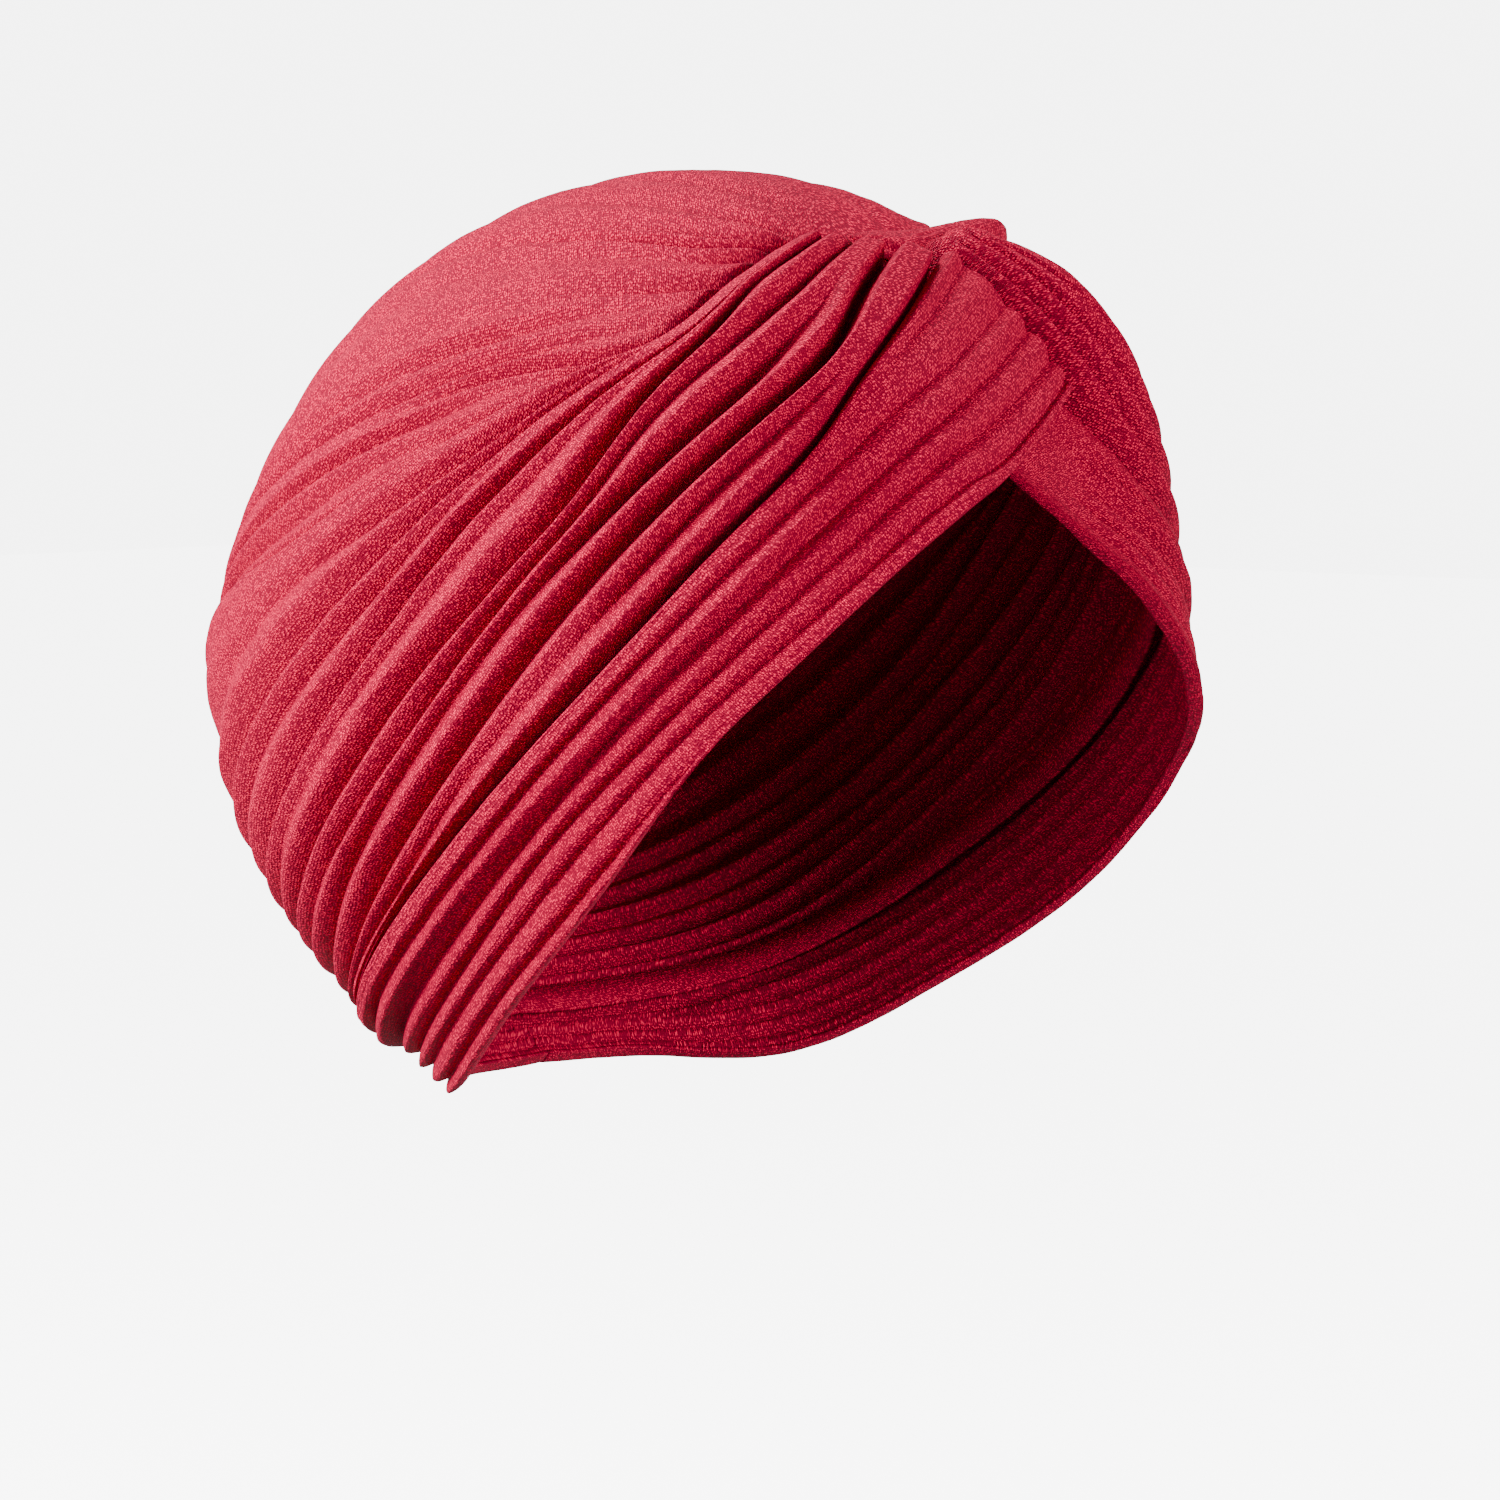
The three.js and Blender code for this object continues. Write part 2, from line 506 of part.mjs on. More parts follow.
// Border of the crown on one side, a tuck's width under the pleats
function crownBorder(side, s) {
  const crease = alongGuide(side.crease, s);
  const middle = alongGuide(MIDDLE, s);
  const band = alongGuide(side.band, s);
  const sideways = between(crease, middle, -CROWN_TUCK_ANGLE / crease.angleTo(middle));
  const downwards = between(crease, band, CROWN_TUCK_ANGLE / crease.angleTo(band));
  return between(sideways, downwards, ease01((s - CROWN_TURN.from) / CROWN_TURN.over));
}

// Depth of the crown's soft folds at a place
function crownFolds(station, across) {
  return CROWN_FOLDS.reduce((sum, fold) => {
    const way = (station - fold.from) / (fold.to - fold.from);
    const place = mix(fold.at[0], fold.at[1], way);
    const fade = ease01(way * FOLD_FADES.in) * ease01((1 - way) * FOLD_FADES.out);
    const near = Math.exp(-(((across - place) / fold.broad) ** 2));
    return sum + FOLD_DEPTH * fold.deep * fade * near;
  }, 0);
}

// Smooth cap over the top of the head, tucked under the pleats all round
function crown(name, shade) {
  const outer = (s, across) => {
    const middle = alongGuide(MIDDLE, s);
    const border = crownBorder(across < 0.5 ? RIGHT : LEFT, s);
    const share = 1 - Math.abs(2 * across - 1);
    const covered = CROWN_TUCK_ANGLE * (CROWN_COVERED + ease01((s - CROWN_TURN.from) / CROWN_TURN.over));
    const inside = share * border.angleTo(middle) - covered;
    const fromFront = ease01((s - CROWN_SWELL.from) / CROWN_SWELL.over);
    const fromBack = ease01((CROWN_SWELL.to - s) / CROWN_SWELL.over);
    const swell = fromFront * fromBack * ease01(inside / (CROWN_SWELL.tucks * TUCK_ANGLE));
    const folds = Math.min(crownFolds(s * RIGHT.last, across), CROWN_RISE) * swell;
    return { unit: between(border, middle, share), height: FIRST_LAYER + CROWN_RISE * swell - folds };
  };
  const along = spread(-CROWN_LAP, CROWN_END, STEPS_ALONG);
  return clothWall(name, along, spread(0, 1, STEPS_CROWN), outer, shade);
}

// Turned fold at the front top, an arch of cloth that rises from the tuck to its peak on the left
function twist(name, shade) {
  const front = TWIST_SECTIONS.map((row) => direction(row.frontAz, row.frontEl));
  const back = TWIST_SECTIONS.map((row) => direction(row.backAz, row.backEl));
  const rises = TWIST_SECTIONS.map((row) => row.rise * TWIST_RISE);
  const at = TWIST_SECTIONS.map((row, i) => i);
  const outer = (s, v) => {
    const unit = between(alongGuide(front, s), alongGuide(back, s), v);
    const arch = Math.sin(Math.PI * v) ** TWIST_FULLNESS;
    return { unit, height: TWIST_SEAT + arch * smoothThrough(at, rises, s * (at.length - 1)) };
  };
  return clothWall(name, spread(0, 1, STEPS_TWIST.along), spread(0, 1, STEPS_TWIST.over), outer, shade);
}

const headwrap = new THREE.Group();
headwrap.add(crown('crown', 1.0));
headwrap.add(drape('right_drape', RIGHT, 0.96));
headwrap.add(drape('left_drape', LEFT, 0.94));
headwrap.add(band('left_band', LEFT, LEFT_LAYERS, 0.9));
headwrap.add(band('right_band', RIGHT, RIGHT_LAYERS, 1.04));
headwrap.add(twist('twist', 1.0));

export default headwrap;
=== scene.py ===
"""Pleated jersey turban headwrap, dressed over its frame in the form it takes when worn."""

import logging
import math
from dataclasses import dataclass, field
from enum import Enum

import bmesh
import bpy
import numpy as np
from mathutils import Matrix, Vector
from numpy.typing import ArrayLike


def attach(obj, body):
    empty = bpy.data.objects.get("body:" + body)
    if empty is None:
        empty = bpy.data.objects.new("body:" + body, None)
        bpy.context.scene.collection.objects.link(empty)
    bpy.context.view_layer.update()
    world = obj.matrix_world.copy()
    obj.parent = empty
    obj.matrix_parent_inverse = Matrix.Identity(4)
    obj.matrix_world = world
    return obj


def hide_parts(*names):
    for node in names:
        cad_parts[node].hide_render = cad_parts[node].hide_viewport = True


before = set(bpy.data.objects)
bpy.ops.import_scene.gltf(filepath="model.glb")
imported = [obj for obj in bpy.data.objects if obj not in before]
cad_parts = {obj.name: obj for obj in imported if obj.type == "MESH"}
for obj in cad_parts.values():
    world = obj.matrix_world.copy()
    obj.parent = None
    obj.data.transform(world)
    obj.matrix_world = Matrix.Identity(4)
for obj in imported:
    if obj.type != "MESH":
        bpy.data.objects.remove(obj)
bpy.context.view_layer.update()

logging.basicConfig(level=logging.INFO, format="%(message)s")
log = logging.getLogger("headwrap")

MM = 0.001
HEAD_TOP = 100.0

# Outer faces of one, two and three layers lying flat on the head, in mm
FIRST_LAYER = 2.0
SECOND_LAYER = 4.4
THIRD_LAYER = 6.8


class Hand(Enum):
    """Side of the wrap. The value turns azimuths towards that side."""

    RIGHT = 1.0
    LEFT = -1.0


def clamp01(x: np.ndarray) -> np.ndarray:
    """Values held between 0 and 1."""
    return np.clip(x, 0.0, 1.0)


def ease01(x: np.ndarray) -> np.ndarray:
    """Smooth step from 0 to 1."""
    held = clamp01(x)
    return held * held * (3.0 - 2.0 * held)


def mix(a: np.ndarray, b: np.ndarray, share: np.ndarray) -> np.ndarray:
    """Value a share of the way from a to b."""
    return a + (b - a) * share


def rolled(distance: np.ndarray, radius: float | np.ndarray) -> np.ndarray:
    """Quarter-round rise of a rolled edge.

    Args:
        distance: distance from the edge.
        radius: width of the roll, in the same unit.

    Returns:
        0 at the edge and 1 past the roll.
    """
    back = 1.0 - clamp01(distance / radius)
    return np.sqrt(np.maximum(1.0 - back * back, 0.0))


def smooth_through(xs: ArrayLike, ys: ArrayLike, x: ArrayLike) -> np.ndarray:
    """Smooth curve through a row of values.

    Args:
        xs: places of the values, rising.
        ys: the values.
        x: places to read.

    Returns:
        The curve's values at x.
    """
    xs = np.asarray(xs, dtype=float)
    ys = np.asarray(ys, dtype=float)
    x = np.asarray(x, dtype=float)
    i = np.clip(np.searchsorted(xs, x, side="left") - 1, 0, len(xs) - 2)
    before = np.maximum(np.arange(len(xs)) - 1, 0)
    after = np.minimum(np.arange(len(xs)) + 1, len(xs) - 1)
    slopes = (ys[after] - ys[before]) / (xs[after] - xs[before])
    step = xs[i + 1] - xs[i]
    t = (x - xs[i]) / step
    rise = ys[i + 1] - ys[i]
    into = slopes[i] * step
    out = slopes[i + 1] * step
    return ys[i] + t * (into + t * (3 * rise - 2 * into - out + t * (into + out - 2 * rise)))


def direction(azimuth: ArrayLike, elevation: ArrayLike) -> np.ndarray:
    """Unit directions from the middle of the head.

    Args:
        azimuth: degrees from the front towards the wearer's right.
        elevation: degrees above the middle.

    Returns:
        Directions, with the three axes last.
    """
    turn = np.radians(np.asarray(azimuth, dtype=float))
    climb = np.radians(np.asarray(elevation, dtype=float))
    flat = np.cos(climb)
    return np.stack([-np.sin(turn) * flat, -np.cos(turn) * flat, np.sin(climb)], axis=-1)


def angle_between(a: np.ndarray, b: np.ndarray) -> np.ndarray:
    """Angles between unit directions, in radians."""
    return np.arccos(np.clip(np.sum(a * b, axis=-1), -1.0, 1.0))


def between(a: np.ndarray, b: np.ndarray, share: np.ndarray) -> np.ndarray:
    """Directions a share of the way along great circles.

    Args:
        a: start directions.
        b: end directions.
        share: 0 at a and 1 at b. It may reach past both.

    Returns:
        Unit directions.
    """
    angle = np.maximum(angle_between(a, b), 1e-6)
    from_a = (np.sin((1.0 - share) * angle) / np.sin(angle))[..., None]
    from_b = (np.sin(share * angle) / np.sin(angle))[..., None]
    out = a * from_a + b * from_b
    return out / np.linalg.norm(out, axis=-1, keepdims=True)


def own_side(points: np.ndarray, hand: Hand, seam: float) -> np.ndarray:
    """Keep points on their own side of the centre back.

    Args:
        points: points in mm.
        hand: side that they belong to.
        seam: gap between the two sides.

    Returns:
        The points, with those at the back no nearer to the middle than half the gap.
    """
    out = -hand.value
    aside = out * np.maximum(out * points[..., 0], seam / 2)
    points[..., 0] = np.where(points[..., 1] > 0.0, aside, points[..., 0])
    return points


@dataclass(frozen=True)
class HeadRow:
    """Head radii at one elevation, as shares of an ellipse through the head's sizes."""

    elevation: float
    front: float
    side: float
    back: float


@dataclass(frozen=True)
class HeadForm:
    """Head that the wrap keeps the form of. Sizes in mm from its middle."""

    front: float = 97.0
    side: float = 80.0
    back: float = 98.0
    squareness: float = 0.3
    rows: tuple[HeadRow, ...] = (
        HeadRow(-75, 1.50, 1.020, 0.880),
        HeadRow(-60, 1.46, 0.982, 0.850),
        HeadRow(-45, 1.40, 0.968, 0.855),
        HeadRow(-30, 1.29, 0.984, 0.893),
        HeadRow(-15, 1.11, 0.994, 0.953),
        HeadRow(0, 1.00, 1.000, 1.000),
        HeadRow(15, 0.955, 1.006, 1.000),
        HeadRow(30, 0.91, 1.020, 0.985),
        HeadRow(45, 0.945, 1.030, 0.985),
        HeadRow(60, 0.983, 1.025, 0.990),
        HeadRow(75, 0.996, 1.010, 0.996),
        HeadRow(90, 1.00, 1.000, 1.000),
    )

    def radius(self, unit: np.ndarray) -> np.ndarray:
        """Distance from the middle of the head to its surface.

        Args:
            unit: unit directions.

        Returns:
            Radii in mm.
        """
        climb = np.arcsin(np.clip(unit[..., 2], -1.0, 1.0))
        flat = np.cos(climb)
        degrees = np.degrees(climb)
        places = [row.elevation for row in self.rows]

        def reach(size: float, shares: list[float]) -> np.ndarray:
            ellipse = 1.0 / np.hypot(flat / size, np.sin(climb) / HEAD_TOP)
            return smooth_through(places, shares, degrees) * ellipse

        ahead = reach(self.front, [row.front for row in self.rows])
        behind = reach(self.back, [row.back for row in self.rows])
        sideways = reach(self.side, [row.side for row in self.rows])
        lengthwise = np.where(unit[..., 1] < 0.0, ahead, behind)
        level = np.maximum(np.hypot(unit[..., 0], unit[..., 1]), 1e-9)
        power = 2.0 + self.squareness * flat**2
        along = np.abs(unit[..., 1]) / level / lengthwise
        across = np.abs(unit[..., 0]) / level / sideways
        return (along**power + across**power) ** (-1.0 / power)

    def point(self, unit: np.ndarray, height: np.ndarray) -> np.ndarray:
        """Points that stand a height off the head, in mm from the origin at its top."""
        out = unit * (self.radius(unit) + height)[..., None]
        out[..., 2] -= HEAD_TOP
        return out


@dataclass(frozen=True)
class GuideLine:
    """Smooth line of directions over the head, through given azimuths and elevations."""

    azimuths: tuple[float, ...]
    elevations: tuple[float, ...]

    def at(self, share: np.ndarray) -> np.ndarray:
        """Directions along the line.

        Args:
            share: 0 at its start and 1 at its end. It may reach past both.

        Returns:
            Unit directions.
        """
        knots = direction(self.azimuths, self.elevations)
        first = 2.0 * knots[0] - knots[1]
        last = 2.0 * knots[-1] - knots[-2]
        line = np.vstack([first, knots, last])
        x = np.asarray(share, dtype=float) * (len(knots) - 1)
        i = np.clip(np.floor(x).astype(int), 0, len(knots) - 2)
        t = (x - i)[..., None]
        out = line[i] * (0.5 * (-t + 2 * t**2 - t**3))
        out = out + line[i + 1] * (0.5 * (2 - 5 * t**2 + 3 * t**3))
        out = out + line[i + 2] * (0.5 * (t + 4 * t**2 - 3 * t**3))
        out = out + line[i + 3] * (0.5 * (-(t**2) + t**3))
        return out / np.linalg.norm(out, axis=-1, keepdims=True)


@dataclass(frozen=True)
class Section:
    """One section of a side, from the twist to the centre back. Angles in degrees.

    The azimuths turn from the front towards the section's own side. The crease is where the pleats
    leave the crown, the band where they meet the brow band, and the edge the band's lower edge. The
    rise and the lift are in mm.
    """

    crease: tuple[float, float]
    band: tuple[float, float]
    edge: tuple[float, float]
    rise: float
    lift: float


RIGHT_SECTIONS = (
    Section((26, 61.5), (-9, 58), (-18, 38), 7.6, 0.6),
    Section((34, 58.5), (12.5, 49), (3, 29), 8.6, 2.1),
    Section((42, 54.5), (26, 39.5), (13, 24.2), 9.0, 2.8),
    Section((56, 46), (36, 30), (25, 16.7), 9.0, 2.1),
    Section((80, 37.5), (50, 17), (38, 6), 8.1, 0.7),
    Section((98, 30.3), (61, 5.7), (48.5, -4.5), 7.2, 0.0),
    Section((117, 20), (76, -9), (60, -20), 6.8, 0.0),
    Section((138, 11), (95, -25), (79, -39), 6.5, 0.0),
    Section((158, 1), (118, -38), (108, -54), 6.3, 0.0),
    Section((171, -6), (150, -46), (146, -58), 6.3, 0.0),
    Section((180, -9), (180, -48), (180, -60), 6.3, 0.0),
)
LEFT_SECTIONS = (
    Section((38, 56), (10.5, 56.5), (-9, 38), 7.7, 4.2),
    Section((42, 55), (14.5, 49), (-2, 31), 8.6, 5.6),
    Section((47, 53), (19.5, 37.5), (7, 22), 9.0, 7.7),
    Section((58, 46), (29, 25), (20, 10), 9.0, 7.0),
    Section((80, 37.5), (45, 14), (35, -1), 8.1, 2.1),
    Section((98, 30.3), (59, 3.5), (47.5, -10), 7.2, 0.7),
    Section((117, 20), (75.5, -11), (60, -23), 6.8, 0.0),
    Section((138, 11), (95, -26), (79, -41), 6.5, 0.0),
    Section((158, 1), (118, -38.5), (108, -54.5), 6.3, 0.0),
    Section((171, -6), (150, -46), (146, -58), 6.3, 0.0),
    Section((180, -9), (180, -48), (180, -60), 6.3, 0.0),
)
CROWN_MIDDLE = (55, 66, 76, 90, 108, 124, 141, 162, 178, 187, 195)
CROWN_LINE = GuideLine((0.0,) * len(CROWN_MIDDLE), CROWN_MIDDLE)


@dataclass(frozen=True)
class SideLines:
    """Guide lines of one side of the wrap."""

    hand: Hand
    sections: tuple[Section, ...]

    def line(self, name: str) -> GuideLine:
        """Guide line called crease, band or edge."""
        pairs = [getattr(section, name) for section in self.sections]
        azimuths = tuple(self.hand.value * azimuth for azimuth, _ in pairs)
        return GuideLine(azimuths, tuple(elevation for _, elevation in pairs))

    def amount(self, name: str, s: np.ndarray) -> np.ndarray:
        """Rise or lift in mm at a share of the flow."""
        values = [getattr(section, name) for section in self.sections]
        return smooth_through(range(len(values)), values, s * (len(values) - 1))

    @property
    def last(self) -> int:
        """Number of the last section."""
        return len(self.sections) - 1


RIGHT = SideLines(Hand.RIGHT, RIGHT_SECTIONS)
LEFT = SideLines(Hand.LEFT, LEFT_SECTIONS)


@dataclass(frozen=True)
class Valley:
    """Valley between two pleats.

    Each row has a value at every station. at is the share of the way across, and deep the share of
    the pleat's height that the valley cuts.
    """

    at: tuple[float, ...]
    deep: tuple[float, ...]


STATIONS = (0, 1, 2, 3, 4, 5, 6, 7, 8, 10)
DRAPE_VALLEYS = (
    Valley(
        (0.04, 0.04, 0.04, 0.05, 0.12, 0.13, 0.12, 0.20, 0.27, 0.30),
        (0, 0, 0, 0.1, 0.7, 0.7, 0.4, 0.4, 0.5, 0.4),
    ),
    Valley(
        (0.08, 0.08, 0.08, 0.09, 0.17, 0.22, 0.25, 0.35, 0.40, 0.40),
        (0, 0, 0, 0, 0.4, 0.7, 0.8, 0.9, 0.9, 0.8),
    ),
    Valley(
        (0.11, 0.10, 0.10, 0.12, 0.21, 0.28, 0.34, 0.43, 0.48, 0.48),
        (0, 0, 0, 0, 0, 0.3, 0.7, 0.5, 0.5, 0.5),
    ),
    Valley(
        (0.13, 0.12, 0.12, 0.15, 0.26, 0.35, 0.45, 0.55, 0.59, 0.58),
        (0, 0, 0, 0.2, 0.6, 0.9, 0.9, 0.9, 0.9, 0.8),
    ),
    Valley(
        (0.15, 0.14, 0.13, 0.18, 0.34, 0.43, 0.51, 0.61, 0.65, 0.65),
        (0, 0, 0, 0, 0.2, 0.3, 0.3, 0.2, 0.5, 0.4),
    ),
    Valley(
        (0.18, 0.16, 0.15, 0.22, 0.48, 0.56, 0.61, 0.69, 0.73, 0.72),
        (0.3, 0.4, 0.3, 0.9, 1, 1, 1, 0.9, 0.9, 0.8),
    ),
    Valley(
        (0.42, 0.38, 0.36, 0.34, 0.55, 0.63, 0.70, 0.76, 0.79, 0.78),
        (0.3, 0.4, 0.5, 0.4, 0.4, 0.6, 0.7, 0.6, 0.4, 0.5),
    ),
    Valley(
        (0.55, 0.54, 0.55, 0.54, 0.63, 0.69, 0.76, 0.82, 0.87, 0.86),
        (0, 0, 0.3, 0.9, 0.8, 0.5, 0.5, 0.7, 0.8, 0.7),
    ),
    Valley(
        (0.65, 0.67, 0.77, 0.71, 0.75, 0.80, 0.86, 0.91, 0.95, 0.93),
        (1, 1, 1, 1, 1, 1, 1, 0.9, 0.8, 0.7),
    ),
    Valley(
        (0.88, 0.88, 0.90, 0.83, 0.87, 0.90, 0.93, 0.97, 0.985, 0.97),
        (0, 0, 0, 0.4, 0.6, 0.3, 0.3, 0.5, 0.4, 0.4),
    ),
)
EDGE_STATIONS = (0, 1, 2, 2.8, 3.4, 5, 10)
EDGE_SHARES = (0.4, 0.5, 0.5, 0.45, 0.0, 0.0, 0.0)
EDGE_RUNS = (4.0, 7.0, 8.0, 7.0, 3.0, 2.6, 2.6)
LEFT_FRONTS = (
    Valley((0.10, 0.10, 0.10, 0.10), (0.1, 0.3, 0.5, 0.5)),
    Valley((0.18, 0.18, 0.18, 0.16), (0, 0, 0.1, 0.2)),
    Valley((0.25, 0.25, 0.25, 0.22), (0.1, 0.3, 0.5, 0.4)),
    Valley((0.32, 0.32, 0.32, 0.28), (0, 0, 0, 0.1)),
    Valley((0.41, 0.41, 0.40, 0.36), (0.2, 0.4, 0.6, 0.6)),
    Valley((0.49, 0.49, 0.48, 0.46), (0, 0, 0.1, 0.4)),
    Valley((0.57, 0.57, 0.56, 0.55), (0.2, 0.4, 0.5, 0.5)),
    Valley((0.66, 0.66, 0.65, 0.64), (0, 0, 0.2, 0.4)),
    Valley((0.74, 0.74, 0.75, 0.75), (0.2, 0.5, 0.7, 0.8)),
    Valley((0.88, 0.88, 0.88, 0.87), (0.4, 0.7, 0.8, 0.7)),
)
LEFT_DRAPE_VALLEYS = tuple(
    Valley((*front.at, *valley.at[4:]), (*front.deep, *valley.deep[4:]))
    for front, valley in zip(LEFT_FRONTS, DRAPE_VALLEYS)
)
BAND_VALLEYS = (
    Valley(
        (0.12, 0.10, 0.06, 0.05, 0.05, 0.05, 0.05, 0.05, 0.05, 0.05),
        (0.5, 0.5, 0, 0, 0, 0, 0, 0, 0, 0),
    ),
    Valley(
        (0.43, 0.34, 0.25, 0.18, 0.18, 0.18, 0.18, 0.18, 0.16, 0.17),
        (0.5, 0.7, 0.8, 0.9, 0.9, 0.9, 0.9, 0.9, 0.9, 0.9),
    ),
    Valley(
        (0.60, 0.53, 0.48, 0.42, 0.42, 0.41, 0.40, 0.40, 0.38, 0.38),
        (0.6, 0.8, 0.9, 0.9, 0.9, 0.9, 1, 1, 0.9, 0.9),
    ),
    Valley(
        (0.80, 0.72, 0.67, 0.64, 0.64, 0.63, 0.55, 0.57, 0.57, 0.57),
        (0.6, 0.7, 0.9, 0.9, 0.9, 0.9, 0.8, 0.9, 0.9, 0.9),
    ),
    Valley(
        (0.94, 0.92, 0.87, 0.85, 0.83, 0.79, 0.73, 0.72, 0.72, 0.72),
        (0.5, 0.6, 0.7, 0.8, 0.7, 0.7, 0.7, 0.6, 0.7, 0.7),
    ),
    Valley(
        (0.98, 0.97, 0.96, 0.96, 0.96, 0.96, 0.92, 0.89, 0.89, 0.89),
        (0, 0, 0, 0, 0, 0.2, 0.7, 0.7, 0.7, 0.7),
    ),
)
CROWN_VALLEYS = (
    Valley(
        (0.003, 0.003, 0.003, 0.003, 0.015, 0.035, 0.050, 0.055, 0.060, 0.060),
        (0, 0, 0, 0, 0.1, 0.4, 0.7, 0.7, 0.5, 0.3),
    ),
    Valley(
        (0.006, 0.006, 0.006, 0.006, 0.047, 0.065, 0.090, 0.095, 0.100, 0.100),
        (0, 0, 0, 0, 0.3, 0.8, 0.7, 0.5, 0.4, 0.2),
    ),
    Valley(
        (0.010, 0.010, 0.010, 0.012, 0.068, 0.080, 0.107, 0.115, 0.120, 0.120),
        (0, 0, 0, 1, 0.7, 0.1, 0, 0, 0, 0),
    ),
    Valley(
        (0.014, 0.014, 0.020, 0.050, 0.086, 0.098, 0.124, 0.140, 0.150, 0.150),
        (0, 0, 0, 0.1, 0.9, 1, 0.7, 0.5, 0.3, 0.2),
    ),
    Valley(
        (0.018, 0.018, 0.030, 0.080, 0.120, 0.132, 0.150, 0.165, 0.180, 0.180),
        (0, 0, 0, 0.2, 0.8, 0.6, 0.5, 0.3, 0.2, 0.1),
    ),
    Valley(
        (0.022, 0.024, 0.050, 0.116, 0.150, 0.165, 0.185, 0.200, 0.210, 0.210),
        (0, 0.4, 1, 1, 0.4, 0.4, 0.4, 0.3, 0.2, 0.1),
    ),
    Valley(
        (0.100, 0.092, 0.120, 0.168, 0.222, 0.235, 0.250, 0.260, 0.270, 0.270),
        (0, 0.3, 0.5, 0.5, 0.4, 0.3, 0.3, 0.2, 0.1, 0),
    ),
    Valley(
        (0.155, 0.142, 0.158, 0.198, 0.265, 0.295, 0.310, 0.320, 0.320, 0.320),
        (0.2, 0.6, 0.8, 0.9, 0.5, 0.3, 0.2, 0.1, 0.1, 0),
    ),
    Valley(
        (0.200, 0.185, 0.180, 0.222, 0.290, 0.330, 0.350, 0.360, 0.360, 0.360),
        (0.3, 0.9, 1, 0.9, 0.4, 0.2, 0.1, 0.1, 0, 0),
    ),
    Valley(
        (0.260, 0.250, 0.250, 0.290, 0.350, 0.390, 0.400, 0.410, 0.410, 0.410),
        (0.2, 0.5, 0.6, 0.5, 0.3, 0.2, 0.1, 0.1, 0, 0),
    ),
    Valley(
        (0.360, 0.350, 0.360, 0.380, 0.430, 0.450, 0.460, 0.460, 0.460, 0.460),
        (0.2, 0.4, 0.4, 0.4, 0.2, 0.2, 0.1, 0, 0, 0),
    ),
)


@dataclass(frozen=True)
class Pleats:
    """Row of pleats with valleys between them. Lane numbers count the valleys across.

    reach is the largest half width of a valley, as a share across.
    """

    valleys: tuple[Valley, ...]
    sharpness: float = 2.2
    reach: float = 1.0

    @property
    def lanes(self) -> int:
        """Number of lanes between the sheet's two borders."""
        return len(self.valleys) + 1

    def section(
        self, station: np.ndarray, lane: np.ndarray, first: float, last: float
    ) -> tuple[np.ndarray, np.ndarray]:
        """Share across and depth of the cut below the crests.

        Args:
            station: section numbers along the flow, one for each row.
            lane: lane numbers, one for each column.
            first: cut at the first border.
            last: cut at the last border.

        Returns:
            Two arrays with a row for each station and a column for each lane.
        """
        ones = np.ones_like(station)
        at = [0.0 * ones, *(smooth_through(STATIONS, v.at, station) for v in self.valleys), ones]
        cuts = [clamp01(smooth_through(STATIONS, v.deep, station)) for v in self.valleys]
        places = np.stack(at, axis=1)
        depths = np.stack([first * ones, *cuts, last * ones], axis=1)
        i = np.clip(np.floor(lane).astype(int), 0, self.lanes - 1)
        x = (lane - i)[None, :]
        share = mix(places[:, i], places[:, i + 1], x)
        width = np.maximum(places[:, i + 1] - places[:, i], 1e-4)
        half = np.minimum(0.5 * width, self.reach)
        near = depths[:, i] * (1.0 - clamp01(x * width / half)) ** self.sharpness
        far = depths[:, i + 1] * (1.0 - clamp01((1.0 - x) * width / half)) ** self.sharpness
        return share, np.maximum(near, far)


@dataclass(frozen=True)
class Crinkle:
    """Fine wrinkles of the cloth, long along the flow and short across it."""

    seed: int
    cells_along: int
    cells_across: int

    def at(self, along: np.ndarray, across: np.ndarray) -> np.ndarray:
        """Height of the wrinkles, from -1 to 1.

        Args:
            along: shares of the flow, one for each row.
            across: shares across, one for each column or one for each row and column.

        Returns:
            Heights with a row for each along and a column for each across.
        """
        rng = np.random.default_rng(self.seed)
        knots = rng.uniform(-1.0, 1.0, (self.cells_along + 2, self.cells_across + 2))
        x = clamp01(along)[:, None] * self.cells_along
        y = clamp01(np.atleast_2d(across)) * self.cells_across
        i = np.minimum(x.astype(int), self.cells_along)
        j = np.minimum(y.astype(int), self.cells_across)
        v = ease01(y - j)
        near = mix(knots[i, j], knots[i, j + 1], v)
        far = mix(knots[i + 1, j], knots[i + 1, j + 1], v)
        return mix(near, far, ease01(x - i))


